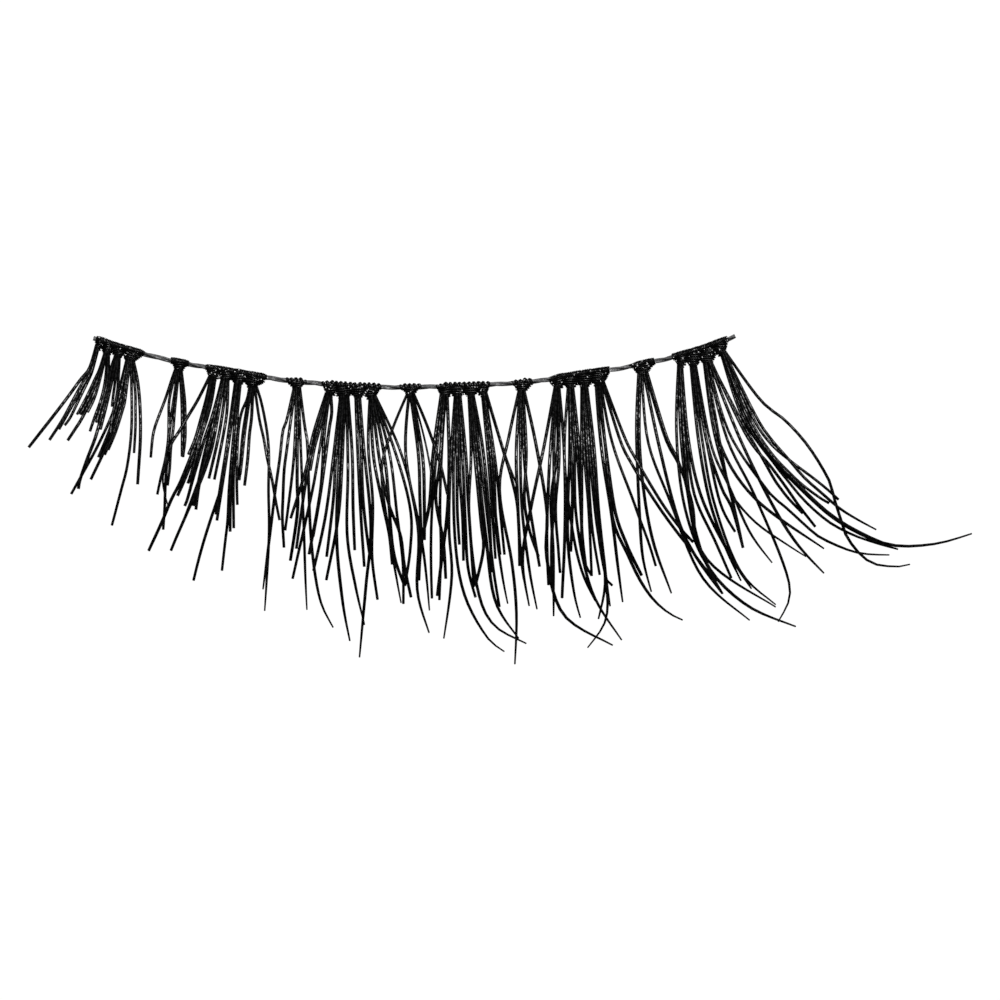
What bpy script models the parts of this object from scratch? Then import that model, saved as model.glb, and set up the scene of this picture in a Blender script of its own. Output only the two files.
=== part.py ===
"""False eyelash strip: one thread band that carries tufts of curled lashes.

The strip lies on the plane z = 0 with its curl downwards: the knots rest on the
plane along the band, and the tips of the long lashes come back down to it.
X runs along the band, Y points from the lashes to the band, +Z is up.
Chart places are in millimetres, and everything built from them is in metres.
"""

from typing import NamedTuple

import bmesh
import bpy
from mathutils import Matrix, Vector
from mathutils.geometry import interpolate_bezier

MM = 0.001

# Band thread
BAND_RADIUS = 0.125 * MM
BAND_STEPS = 2
BORE_GAP = 0.035 * MM

# Knot heads, which wrap the band and close on the lash roots
HEAD_DEPTH = 0.54 * MM
HEAD_RISE = 0.23 * MM
HEAD_SHOULDER = 0.16 * MM
HEAD_END_REACH = 0.34 * MM
SINGLE_REACH = 0.50 * MM
SINGLE_SIDE_SPREAD = 0.86
HEAD_GAP = 0.04 * MM
HEAD_CHAMFER_SHARE = 0.28
HEAD_FLAT_SHARE = 0.62
WAIST_PLACE = 0.62
WAIST_SPREAD = 1.25
NECK_INSET = 0.07 * MM
NECK_WIDTH_PER_LASH = 0.075 * MM
NECK_WIDTH_RANGE = (0.34 * MM, 0.56 * MM)
MIN_HEAD_HALF = 0.17 * MM

# Lashes
LASH_RADIUS = 0.075 * MM
BLUNT_TIP = 0.78
FINE_TIP = 0.42
FINE_FROM_LENGTH = 9.5 * MM
TAPER_START = 0.55
ROOT_BURY = 0.20 * MM
LAYER_STEP = 0.155 * MM
FIRST_LAYER_ROOT = 0.19 * MM
SHORT_LEG = 2.1 * MM
SHORT_LEG_STEPS = 1
LEG_STEPS = 2

# Curl: the arch that each lash makes over the resting plane
CURL_SPAN = 13.0 * MM
CURL_HEIGHTS = (2.30 * MM, 2.75 * MM, 3.20 * MM)

# Distance within which the rims of a tube and its caps are one
WELD = 0.001 * MM


class Place(NamedTuple):
    """A place on the resting plane, in millimetres."""

    x: float
    y: float


class Tuft(NamedTuple):
    """A knotted tuft: its cluster (0 when it stands alone), its neck and its lashes.

    Each lash is the short row of places that it passes below the neck, tip last.
    """

    cluster: int
    neck: Place
    lashes: tuple


# The band's own line, left end to right end
BAND_PATH = (
    Place(-20.45, 8.00), Place(-19.00, 7.50), Place(-17.40, 7.08), Place(-16.00, 6.75),
    Place(-13.40, 6.30), Place(-11.00, 5.95), Place(-8.00, 5.66), Place(-5.40, 5.56),
    Place(-2.60, 5.61), Place(0.00, 5.72), Place(2.10, 5.90), Place(4.00, 6.20),
    Place(6.00, 6.50), Place(8.30, 6.97), Place(10.00, 7.45), Place(11.00, 7.85),
    Place(11.85, 8.10),
)

TUFTS = (
    Tuft(1, Place(-20.10, 7.42), (
        ((-21.80, 4.90), (-23.50, 2.55)),
        ((-21.20, 5.10), (-22.45, 2.95)),
        ((-21.10, 5.30), (-22.00, 3.50)),
    )),
    Tuft(1, Place(-19.62, 7.16), (
        ((-20.50, 5.70), (-21.10, 4.20)),
        ((-20.45, 4.90), (-21.55, 2.90)),
        ((-20.05, 5.60), (-20.60, 4.30)),
        ((-19.85, 5.20), (-20.45, 3.35)),
        ((-19.60, 5.20), (-19.95, 3.90)),
    )),
    Tuft(1, Place(-19.06, 7.02), (
        ((-19.50, 5.20), (-19.90, 3.45)),
        ((-19.90, 3.90), (-21.00, 0.50)),
        ((-19.40, 5.00), (-19.42, 3.30)),
        ((-19.10, 6.00), (-19.25, 4.75)),
    )),
    Tuft(1, Place(-18.48, 6.78), (
        ((-19.55, 3.60), (-21.40, 0.20)),
        ((-19.10, 4.50), (-20.00, 2.05)),
        ((-19.15, 4.00), (-20.40, 0.95)),
        ((-18.42, 2.90), (-19.35, -1.35)),
        ((-18.20, 4.50), (-18.25, 2.25)),
        ((-17.98, 3.90), (-18.05, 0.70)),
    )),
    Tuft(0, Place(-16.05, 6.30), (
        ((-17.00, 4.25), (-17.40, 2.05)),
        ((-16.50, 3.30), (-17.07, 0.20)),
        ((-16.58, 2.60), (-16.79, -1.57)),
        ((-16.60, 2.30), (-16.52, -0.45)),
        ((-16.30, 3.50), (-16.56, 0.65)),
        ((-15.85, 4.40), (-15.85, 2.10)),
    )),
    Tuft(2, Place(-14.36, 5.94), (
        ((-15.50, 4.20), (-16.50, 2.30)),
        ((-14.95, 4.40), (-15.55, 2.20)),
        ((-15.60, 1.60), (-17.50, -2.60)),
        ((-15.10, 3.00), (-16.07, 0.10)),
        ((-14.88, 3.40), (-15.50, 0.80)),
    )),
    Tuft(2, Place(-13.70, 5.84), (
        ((-14.85, 2.80), (-15.72, -0.38)),
        ((-14.60, 1.60), (-16.40, -2.60)),
        ((-14.65, 2.00), (-15.80, -1.20)),
        ((-13.95, 3.50), (-14.50, 1.00)),
        ((-13.75, 3.40), (-14.23, 0.95)),
    )),
    Tuft(2, Place(-13.06, 5.72), (
        ((-13.85, 0.90), (-15.25, -4.10)),
        ((-13.65, 2.40), (-14.15, -0.80)),
        ((-13.45, 1.10), (-13.86, -3.60)),
        ((-13.10, 2.60), (-13.07, -0.32)),
    )),
    Tuft(2, Place(-12.34, 5.52), (
        ((-12.80, 3.30), (-13.00, 0.90)),
        ((-12.55, 3.20), (-12.72, 0.65)),
        ((-11.50, 1.50), (-11.48, -2.00), (-11.72, -5.60)),
        ((-11.65, 2.30), (-10.98, -1.10)),
    )),
    Tuft(0, Place(-10.12, 5.44), (
        ((-11.22, 0.50), (-11.81, -4.53)),
        ((-10.75, 1.40), (-10.75, -2.45)),
        ((-10.16, 1.00), (-10.44, -3.10)),
        ((-9.90, 2.00), (-9.75, -2.00), (-9.68, -4.20), (-9.62, -5.55)),
        ((-9.56, 2.30), (-9.42, -1.80), (-9.00, -4.90), (-8.32, -6.44)),
    )),
    Tuft(3, Place(-8.54, 5.20), (
        ((-9.30, 3.20), (-9.70, 1.30), (-10.42, -1.00)),
        ((-9.02, 2.20), (-9.42, 0.00), (-10.33, -3.99)),
        ((-8.75, 3.20), (-8.92, 0.50), (-9.50, -2.78)),
    )),
    Tuft(3, Place(-7.76, 5.10), (
        ((-8.30, 2.00), (-8.70, -1.00), (-9.28, -3.60)),
        ((-8.02, 1.50), (-8.12, -2.00), (-7.82, -5.20), (-7.48, -7.10)),
        ((-7.85, 1.80), (-8.05, -1.00), (-8.64, -4.06)),
        ((-7.56, 1.50), (-7.60, -1.80), (-7.20, -4.30), (-6.75, -6.30)),
        ((-7.35, 2.20), (-7.30, -0.60), (-7.22, -2.57)),
    )),
    Tuft(3, Place(-7.10, 5.12), (
        ((-7.10, 2.80), (-6.94, -0.50), (-6.75, -3.40)),
        ((-6.92, 2.80), (-6.80, -0.20), (-6.50, -2.70)),
        ((-6.78, 2.60), (-6.42, -1.40), (-6.66, -4.30), (-7.00, -7.93)),
    )),
    Tuft(3, Place(-6.36, 5.06), (
        ((-6.55, 2.60), (-6.32, -0.20), (-6.36, -2.90), (-6.09, -5.04)),
        ((-6.30, 2.20), (-5.84, -0.20), (-5.50, -1.80), (-5.35, -3.28)),
        ((-5.50, 2.30), (-5.10, -0.90), (-4.82, -3.20), (-4.80, -5.25)),
        ((-5.20, 2.30), (-4.45, -0.50), (-4.45, -2.50), (-4.72, -4.35)),
        ((-5.00, 2.50), (-4.20, -0.40), (-3.75, -3.00), (-3.50, -5.58)),
    )),
    Tuft(0, Place(-4.45, 5.10), (
        ((-5.40, 3.30), (-5.88, 1.30), (-5.45, -2.10), (-4.92, -5.20)),
        ((-4.68, 2.20), (-4.05, -1.60), (-4.10, -4.60), (-3.52, -6.70)),
        ((-4.05, 2.20), (-3.97, 0.00), (-3.90, -1.90)),
        ((-3.85, 2.20), (-3.75, -0.20), (-3.75, -2.07)),
        ((-3.60, 3.60), (-2.95, 1.70), (-2.60, 0.20)),
    )),
    Tuft(4, Place(-2.76, 5.06), (
        ((-3.32, 2.20), (-3.50, -0.30), (-3.90, -2.20), (-4.02, -4.08)),
        ((-3.15, 2.20), (-3.38, -0.80), (-3.42, -2.80), (-3.37, -4.98)),
        ((-2.88, 2.40), (-2.97, -0.30), (-2.92, -2.60), (-3.00, -5.06)),
        ((-2.52, 2.20), (-2.60, -0.60), (-2.88, -3.00), (-3.10, -4.85)),
    )),
    Tuft(4, Place(-2.10, 5.06), (
        ((-2.42, 2.20), (-2.52, -1.40), (-2.38, -3.90), (-2.78, -6.98)),
        ((-2.30, 1.20), (-2.18, -2.50), (-1.70, -4.95), (-0.65, -6.90), (0.23, -7.65)),
        ((-1.98, 1.20), (-1.84, -1.00), (-1.80, -3.10)),
        ((-1.84, 2.00), (-1.70, -1.20), (-1.58, -3.40), (-1.20, -4.92)),
        ((-1.68, 2.20), (-1.58, 0.20), (-1.40, -2.60), (-1.28, -4.40)),
    )),
    Tuft(4, Place(-1.45, 5.10), (
        ((-1.42, 2.20), (-1.52, -0.80), (-1.10, -4.50), (-0.30, -6.30), (1.33, -7.24)),
        ((-1.24, 2.20), (-0.92, -1.20), (-0.80, -2.50), (-1.17, -4.20)),
        ((-1.10, 2.00), (-0.68, -1.90), (-0.22, -5.10), (0.95, -6.98)),
        ((-0.98, 2.20), (-0.62, -0.80), (-0.30, -3.60), (0.00, -5.40)),
        ((-0.85, 2.60), (-0.55, -0.40), (-0.38, -3.67)),
    )),
    Tuft(4, Place(-0.78, 5.14), (
        ((-0.58, 2.20), (-0.38, -0.50), (-0.20, -3.00)),
        ((-0.32, 2.00), (-0.15, -1.60), (0.15, -3.90), (0.41, -5.25)),
        ((-0.20, 1.80), (0.05, -0.80), (0.25, -2.80)),
        ((0.12, 2.60), (0.60, 1.00), (0.92, -0.60), (1.00, -3.36)),
    )),
    Tuft(0, Place(1.10, 5.24), (
        ((0.45, 3.00), (0.00, 0.40), (0.62, -3.20), (0.85, -5.80), (0.77, -8.27)),
        ((0.84, 2.50), (0.90, 0.00), (1.03, -2.50), (1.23, -4.03)),
        ((1.04, 2.50), (1.12, -0.50), (1.50, -3.60), (1.87, -5.52)),
        ((1.34, 2.40), (1.24, 0.00), (1.50, -1.60), (1.95, -2.90)),
        ((1.80, 2.80), (2.36, -0.60), (2.36, -3.00), (3.20, -5.80), (5.65, -7.33)),
    )),
    Tuft(5, Place(2.88, 5.44), (
        ((2.22, 2.60), (1.58, -0.40), (1.15, -3.00), (1.48, -5.35)),
        ((2.55, 2.60), (2.42, 0.20), (2.36, -2.00), (2.45, -4.30)),
        ((2.90, 2.40), (2.58, 0.00), (2.68, -2.80), (2.70, -5.86)),
        ((2.98, 2.00), (2.80, -0.40), (2.93, -2.50), (3.02, -3.70)),
        ((3.22, 2.50), (3.27, -1.20), (3.12, -4.95)),
    )),
    Tuft(5, Place(3.54, 5.50), (
        ((3.24, 2.20), (3.58, -1.20), (4.10, -3.60), (4.80, -5.10)),
        ((3.50, 2.40), (3.40, -1.80), (3.70, -4.60), (4.04, -5.95)),
        ((3.74, 2.40), (3.84, -1.00), (4.60, -4.60), (6.10, -7.07)),
        ((4.00, 2.20), (4.10, -1.40), (4.30, -3.30)),
    )),
    Tuft(5, Place(4.23, 5.56), (
        ((4.22, 2.40), (4.45, -0.60), (4.60, -3.85)),
        ((4.50, 2.20), (4.85, -1.20), (5.28, -4.00), (4.94, -6.00)),
        ((4.62, 2.20), (4.90, -0.60), (5.30, -3.80), (5.32, -6.00), (4.41, -7.45)),
        ((4.72, 2.60), (4.95, -0.60), (5.28, -3.60), (5.52, -5.37)),
    )),
    Tuft(5, Place(4.99, 5.66), (
        ((5.20, 2.40), (5.60, -0.90), (5.96, -3.80), (6.15, -5.16)),
        ((5.34, 2.20), (5.78, -0.70), (6.35, -2.30), (7.09, -3.83)),
        ((5.30, 2.40), (5.65, -1.00), (7.10, -4.10), (9.14, -6.07)),
        ((5.95, 2.20), (6.95, -0.90), (7.80, -3.35)),
        ((6.10, 2.90), (7.20, 0.80), (8.70, -1.30), (10.70, -3.99)),
        ((6.30, 3.10), (7.30, 0.90), (8.72, -1.00), (9.67, -2.16)),
    )),
    Tuft(0, Place(7.15, 6.16), (
        ((6.84, 3.40), (6.98, -0.60), (7.15, -2.90), (7.58, -4.66)),
        ((6.98, 3.00), (7.22, 0.20), (7.68, -2.20), (8.58, -4.73)),
        ((7.40, 2.90), (8.50, -0.10), (10.10, -3.90), (12.50, -6.08)),
        ((7.95, 2.70), (8.90, -1.00), (9.80, -2.90), (11.12, -4.75)),
        ((8.28, 3.00), (9.20, 1.10), (10.25, -2.90), (13.80, -5.42)),
    )),
    Tuft(6, Place(9.02, 6.56), (
        ((8.83, 3.40), (9.15, 0.00), (10.00, -2.70), (11.10, -4.30)),
        ((9.05, 3.20), (9.45, 0.00), (10.30, -3.20), (12.30, -5.30), (14.80, -6.40)),
        ((9.32, 3.20), (9.72, 0.20), (10.75, -2.10), (11.57, -3.97)),
        ((9.42, 3.00), (10.10, 0.00), (11.60, -3.00), (12.57, -4.50)),
    )),
    Tuft(6, Place(9.66, 6.62), (
        ((9.90, 3.10), (10.45, 0.00), (11.30, -2.50), (12.05, -4.10)),
        ((10.10, 3.00), (10.70, -0.20), (12.00, -3.60), (13.80, -5.30)),
        ((10.30, 3.00), (11.00, -0.20), (11.75, -1.66)),
        ((10.55, 2.70), (11.50, 0.50), (12.50, -1.70), (13.60, -3.20)),
    )),
    Tuft(6, Place(10.36, 6.72), (
        ((10.68, 3.50), (11.55, 0.20), (12.15, -2.45)),
        ((10.95, 2.90), (12.75, 0.00), (16.20, -2.50)),
        ((11.35, 3.00), (12.80, 0.00), (14.48, -4.30), (13.93, -6.15)),
        ((11.50, 3.20), (13.45, 0.25), (15.60, -1.75), (19.50, -2.83)),
        ((11.95, 3.10), (13.50, -0.10), (14.80, -2.20), (16.20, -3.73)),
        ((12.30, 3.20), (13.70, 1.00), (15.80, -1.39)),
    )),
    Tuft(6, Place(11.12, 7.16), (
        ((12.15, 4.00), (14.30, 0.90), (16.40, -1.20), (19.90, -2.53)),
        ((12.40, 4.00), (14.60, 1.20), (17.20, -1.30), (20.00, -2.38), (23.60, -1.76)),
        ((12.55, 4.10), (14.20, 2.00), (16.45, -0.24)),
        ((12.70, 4.20), (14.60, 1.80), (17.50, -0.85), (18.80, -1.56)),
        ((13.00, 4.95), (15.70, 2.20), (17.20, -1.60), (20.50, -3.29)),
    )),
)


def start_clean() -> None:
    """Remove the objects that the open file holds."""
    for thing in list(bpy.data.objects):
        bpy.data.objects.remove(thing)


def add_collection(name: str) -> bpy.types.Collection:
    """Make a collection under the scene."""
    group = bpy.data.collections.new(name)
    bpy.context.scene.collection.children.link(group)
    return group


def plain_material(name: str, colour: tuple, roughness: float) -> bpy.types.Material:
    """Make a non-metallic finish of one colour."""
    finish = bpy.data.materials.new(name)
    finish.use_nodes = True
    shader = finish.node_tree.nodes["Principled BSDF"]
    shader.inputs["Base Color"].default_value = (*colour, 1.0)
    shader.inputs["Roughness"].default_value = roughness
    shader.inputs["Metallic"].default_value = 0.0
    return finish


def on_plane(place: tuple) -> Vector:
    """Turn a chart place into a point of the resting plane, in metres."""
    return Vector((place[0] * MM, place[1] * MM, 0.0))


def smooth_path(knots: list, steps: list) -> list:
    """Run a smooth curve through the knots, with so many steps on each leg."""
    ends = [knots[0] * 2.0 - knots[1], *knots, knots[-1] * 2.0 - knots[-2]]
    path = [knots[0].copy()]
    for leg, count in enumerate(steps):
        before, start, end, after = ends[leg:leg + 4]
        leave = start + (end - before) / 6.0
        arrive = end - (after - start) / 6.0
        path += interpolate_bezier(start, leave, arrive, end, count + 1)[1:]
    return path


def tubes_object(name: str, paths: list, sides_resolution: int) -> bpy.types.Object:
    """Make closed tubes as one mesh object.

    Each path is a list of (point, radius) pairs.
    """
    curve = bpy.data.curves.new(name, "CURVE")
    curve.dimensions = "3D"
    curve.bevel_depth = 1.0
    curve.bevel_resolution = sides_resolution
    curve.use_fill_caps = True
    for path in paths:
        spline = curve.splines.new("POLY")
        spline.points.add(len(path) - 1)
        for knot, (point, radius) in zip(spline.points, path):
            knot.co = (*point, 1.0)
            knot.radius = radius
    drawn = bpy.data.objects.new(name + "_curve", curve)
    bpy.context.scene.collection.objects.link(drawn)
    solid = bpy.data.objects.new(name, mesh_of(drawn))
    solid.matrix_world = drawn.matrix_world
    bpy.data.objects.remove(drawn)
    weld(solid.data)
    return solid


def mesh_of(thing: bpy.types.Object) -> bpy.types.Mesh:
    """Return the evaluated mesh of an object as a mesh of its own."""
    graph = bpy.context.evaluated_depsgraph_get()
    graph.update()
    return bpy.data.meshes.new_from_object(thing.evaluated_get(graph))


def weld(mesh: bpy.types.Mesh) -> None:
    """Close the caps of a mesh made from a curve."""
    work = bmesh.new()
    work.from_mesh(mesh)
    bmesh.ops.remove_doubles(work, verts=work.verts, dist=WELD)
    work.to_mesh(mesh)
    work.free()


def combine(target: bpy.types.Object, other: bpy.types.Object, operation: str) -> None:
    """Join another object to the target, or cut it away, and keep the result as its mesh."""
    step = target.modifiers.new(operation.title(), "BOOLEAN")
    step.operation = operation
    step.solver = "EXACT"
    step.use_self = operation == "UNION"
    step.object = other
    result = mesh_of(target)
    target.modifiers.remove(step)
    target.data = result


def band_knots() -> list:
    """Return the band's control points at the height where the knots hold it."""
    lift = Vector((0.0, 0.0, HEAD_DEPTH / 2.0))
    return [on_plane(place) + lift for place in BAND_PATH]


def band_line() -> list:
    """Return the band's centre line."""
    knots = band_knots()
    return smooth_path(knots, [BAND_STEPS] * (len(knots) - 1))


def band_tube(name: str, radius: float) -> bpy.types.Object:
    """Make a closed round thread along the band's line."""
    return tubes_object(name, [[(point, radius) for point in band_line()]], 1)


def band_at(x: float) -> tuple:
    """Return the band's point above a place along X, and its direction there."""
    line = band_line()
    for start, end in zip(line, line[1:]):
        if start.x <= x <= end.x:
            share = (x - start.x) / (end.x - start.x)
            return start.lerp(end, share), (end - start).normalized()
    raise ValueError("place is past the ends of the band")


def head_edges(index: int) -> tuple:
    """Return how far a knot head reaches to the left and right of its neck."""
    tuft = TUFTS[index]
    if tuft.cluster == 0:
        return SINGLE_REACH, SINGLE_REACH
    reaches = []
    for side in (-1, 1):
        near = index + side
        shares = 0 <= near < len(TUFTS) and TUFTS[near].cluster == tuft.cluster
        if shares:
            pitch = abs(TUFTS[near].neck.x - tuft.neck.x) * MM
            reaches.append((pitch - HEAD_GAP) / 2.0)
        else:
            reaches.append(HEAD_END_REACH)
    return tuple(reaches)


def neck_half_width(tuft: Tuft) -> float:
    """Return half the width of the neck that the lash roots fill."""
    low, high = NECK_WIDTH_RANGE
    return min(max(NECK_WIDTH_PER_LASH * len(tuft.lashes), low), high) / 2.0


def head_ring(work: bmesh.types.BMesh, frame: Matrix, left: float, right: float, inset: float) -> list:
    """Add one eight-sided section of a knot head, flat underneath.

    The frame's X runs along the band, its Z is up and its origin is at the plane.
    """
    low = inset
    high = HEAD_DEPTH - inset
    chamfer = (high - low) * HEAD_CHAMFER_SHARE
    flat_left = left * HEAD_FLAT_SHARE
    flat_right = right * HEAD_FLAT_SHARE
    outline = (
        (-left, low + chamfer), (-flat_left, low), (flat_right, low), (right, low + chamfer),
        (right, high - chamfer), (flat_right, high), (-flat_left, high), (-left, high - chamfer),
    )
    return [work.verts.new(frame @ Vector((x, 0.0, z))) for x, z in outline]


def head_object(name: str, index: int) -> bpy.types.Object:
    """Loft a knot head from above the band down to its neck."""
    tuft = TUFTS[index]
    neck = on_plane(tuft.neck)
    band_point, along = band_at(neck.x)
    band_point.z = 0.0
    left, right = head_edges(index)
    neck_half = neck_half_width(tuft)
    across = Vector((0.0, 0.0, 1.0)).cross(along)
    shoulder = band_point - across * HEAD_SHOULDER
    waist_half = neck_half * WAIST_SPREAD
    side_spread = 1.0 if tuft.cluster else SINGLE_SIDE_SPREAD
    sections = (
        (band_point + across * HEAD_RISE, along, left * side_spread, right * side_spread, 0.0),
        (shoulder, along, left, right, 0.0),
        (shoulder.lerp(neck, WAIST_PLACE), along, min(left, waist_half), min(right, waist_half), 0.0),
        (neck, Vector((1.0, 0.0, 0.0)), min(left, neck_half), min(right, neck_half), NECK_INSET),
    )
    work = bmesh.new()
    rings = []
    for centre, width_way, reach_left, reach_right, inset in sections:
        up = Vector((0.0, 0.0, 1.0))
        frame = Matrix((width_way, up.cross(width_way), up)).transposed().to_4x4()
        frame.translation = centre
        reach_left = max(reach_left, MIN_HEAD_HALF)
        reach_right = max(reach_right, MIN_HEAD_HALF)
        rings.append(head_ring(work, frame, reach_left, reach_right, inset))
    for upper, lower in zip(rings, rings[1:]):
        for corner in range(len(upper)):
            beside = (corner + 1) % len(upper)
            work.faces.new((upper[corner], upper[beside], lower[beside], lower[corner]))
    work.faces.new(rings[0])
    work.faces.new(rings[-1])
    bmesh.ops.recalc_face_normals(work, faces=work.faces)
    mesh = bpy.data.meshes.new(name)
    work.to_mesh(mesh)
    work.free()
    return bpy.data.objects.new(name, mesh)


def plan_path(tuft: Tuft, order: int) -> list:
    """Return one lash's line on the plane, from inside the neck to its tip."""
    count = len(tuft.lashes)
    spread = 2.0 * (neck_half_width(tuft) - LASH_RADIUS)
    offset = spread * (order / (count - 1) - 0.5)
    neck = on_plane(tuft.neck) + Vector((offset, 0.0, 0.0))
    root = neck + Vector((0.0, ROOT_BURY, 0.0))
    knots = [root, *(on_plane(place) for place in tuft.lashes[order])]
    legs = [(end - start).length for start, end in zip(knots, knots[1:])]
    steps = [SHORT_LEG_STEPS if leg < SHORT_LEG else LEG_STEPS for leg in legs]
    return smooth_path(knots, steps)


def running_lengths(path: list) -> list:
    """Return the length from the start of a path to each of its points."""
    lengths = [0.0]
    for start, end in zip(path, path[1:]):
        lengths.append(lengths[-1] + (end - start).length)
    return lengths


def curl_height(share: float, arch: float, layer: float) -> float:
    """Return a lash's height where it has run this share of the curl's span."""
    root = FIRST_LAYER_ROOT
    base = root + (LASH_RADIUS - root) * share
    return base + layer + 4.0 * arch * share * (1.0 - share)


def lash_path(path: list, span: float, arch: float, layer: float) -> list:
    """Lift a plan path onto the curl and give each point its radius."""
    lengths = running_lengths(path)
    whole = lengths[-1]
    tip = FINE_TIP if whole > FINE_FROM_LENGTH else BLUNT_TIP
    lifted = []
    for point, run in zip(path, lengths):
        height = curl_height(run / span, arch, layer)
        taper = max(0.0, (run / whole - TAPER_START) / (1.0 - TAPER_START))
        radius = LASH_RADIUS * (1.0 - (1.0 - tip) * taper)
        lifted.append((Vector((point.x, point.y, height)), radius))
    return lifted


def lashes_object(name: str, index: int) -> bpy.types.Object:
    """Make the curled lashes of one tuft, still as loose tubes."""
    tuft = TUFTS[index]
    plans = [plan_path(tuft, order) for order in range(len(tuft.lashes))]
    span = max(CURL_SPAN, *(running_lengths(plan)[-1] for plan in plans))
    arch = CURL_HEIGHTS[index % len(CURL_HEIGHTS)]
    lifted = []
    for order, plan in enumerate(plans):
        layer = LAYER_STEP * (order % 2)
        lifted.append(lash_path(plan, span, arch, layer))
    return tubes_object(name, lifted, 0)


def build_band(group: bpy.types.Collection, finish: bpy.types.Material) -> None:
    """Make the thread that runs through every knot."""
    band = band_tube("band", BAND_RADIUS)
    band.data.shade_smooth()
    band.data.materials.append(finish)
    group.objects.link(band)


def build_tuft(group: bpy.types.Collection, index: int, bore: bpy.types.Object,
               finish: bpy.types.Material) -> None:
    """Make one tuft: its head, its lashes fused to it and the band's bore."""
    name = f"tuft_{index + 1:02d}"
    head = head_object(name, index)
    group.objects.link(head)
    lashes = lashes_object(name + "_lashes", index)
    group.objects.link(lashes)
    combine(head, lashes, "UNION")
    combine(head, bore, "DIFFERENCE")
    bpy.data.objects.remove(lashes)
    head.data.materials.clear()
    head.data.materials.append(finish)


def main() -> None:
    """Build the whole strip."""
    start_clean()
    strip = add_collection("false_eyelash_strip")
    cutters = add_collection("cutters")
    thread = plain_material("band_thread", (0.20, 0.20, 0.21), 0.5)
    fibre = plain_material("lash_fibre", (0.006, 0.006, 0.007), 0.4)
    bore = band_tube("band_bore", BAND_RADIUS + BORE_GAP)
    bore.hide_render = True
    bore.display_type = "WIRE"
    cutters.objects.link(bore)
    build_band(strip, thread)
    for index in range(len(TUFTS)):
        build_tuft(strip, index, bore, fibre)


main()
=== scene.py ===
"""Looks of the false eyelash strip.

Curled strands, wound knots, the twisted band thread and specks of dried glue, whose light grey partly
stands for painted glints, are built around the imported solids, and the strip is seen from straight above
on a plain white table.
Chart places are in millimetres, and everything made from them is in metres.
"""

import logging
import math
import random
from dataclasses import dataclass
from enum import Enum
from typing import NamedTuple

import bmesh
import bpy
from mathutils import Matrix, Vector


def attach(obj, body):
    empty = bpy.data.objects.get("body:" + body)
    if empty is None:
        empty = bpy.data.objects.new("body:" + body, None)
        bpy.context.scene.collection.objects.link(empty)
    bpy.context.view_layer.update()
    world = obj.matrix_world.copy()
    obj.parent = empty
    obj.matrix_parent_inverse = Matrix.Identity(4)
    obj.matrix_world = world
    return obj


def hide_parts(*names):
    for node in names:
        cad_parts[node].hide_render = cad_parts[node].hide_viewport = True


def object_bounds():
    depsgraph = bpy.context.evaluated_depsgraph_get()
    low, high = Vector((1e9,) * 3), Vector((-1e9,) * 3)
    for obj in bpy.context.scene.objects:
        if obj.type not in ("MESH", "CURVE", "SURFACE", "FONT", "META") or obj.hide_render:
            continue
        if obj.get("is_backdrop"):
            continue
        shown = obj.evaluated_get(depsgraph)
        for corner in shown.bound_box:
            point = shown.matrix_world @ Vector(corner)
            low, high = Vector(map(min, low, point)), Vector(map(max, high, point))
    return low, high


MM = 0.001
UP = Vector((0.0, 0.0, 1.0))
ALONG_X = Vector((1.0, 0.0, 0.0))
LOG = logging.getLogger("eyelash_strip")

BAND_HEIGHT = 0.27 * MM
WHITE = (1.0, 1.0, 1.0, 1.0)
NOISE_MIDDLE = (0.5, 0.5, 0.5)
BUMP_DEPTH = 0.01 * MM

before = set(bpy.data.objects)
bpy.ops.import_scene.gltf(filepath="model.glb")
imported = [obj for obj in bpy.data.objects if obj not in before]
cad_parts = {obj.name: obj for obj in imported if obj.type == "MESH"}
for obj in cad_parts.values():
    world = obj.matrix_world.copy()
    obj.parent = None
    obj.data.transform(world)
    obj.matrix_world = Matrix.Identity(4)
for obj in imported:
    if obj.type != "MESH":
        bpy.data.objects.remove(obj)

Colour = tuple[float, float, float]


class Place(NamedTuple):
    """A place on the table, in millimetres."""

    x: float
    y: float


class Cut(Enum):
    """How a strand ends, as its thickness in millimetres and the share of it left at the tip."""

    BLUNT = (0.164, 0.90)
    FINE = (0.158, 0.54)
    WISP = (0.112, 0.60)


class Strand(NamedTuple):
    """One lash: its cut and the places that it passes below the neck, tip last."""

    cut: Cut
    places: tuple[tuple[float, float], ...]


class Tuft(NamedTuple):
    """A knotted tuft: its cluster (0 when it stands alone), its neck and its strands, left to right."""

    cluster: int
    neck: Place
    neck_width: float
    strands: tuple[Strand, ...]


class Wrap(Enum):
    """How a thread lies round the band: its radius, pitch and unevenness in millimetres, and its ripple."""

    CLOSE = (0.040, 0.078, 0.045, 0.04)
    LUMPY = (0.092, 0.235, 0.120, 0.08)


class Seam(NamedTuple):
    """A stretch of the band that is wrapped in thread: its ends along X and its thickness there."""

    first: float
    last: float
    wrap: Wrap
    first_swell: float
    last_swell: float


def blunt(*places: tuple[float, float]) -> Strand:
    """Chart a lash that is cut straight across."""
    return Strand(Cut.BLUNT, places)


def fine(*places: tuple[float, float]) -> Strand:
    """Chart a long lash that thins towards its tip."""
    return Strand(Cut.FINE, places)


def wisp(*places: tuple[float, float]) -> Strand:
    """Chart a thin lash."""
    return Strand(Cut.WISP, places)


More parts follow.
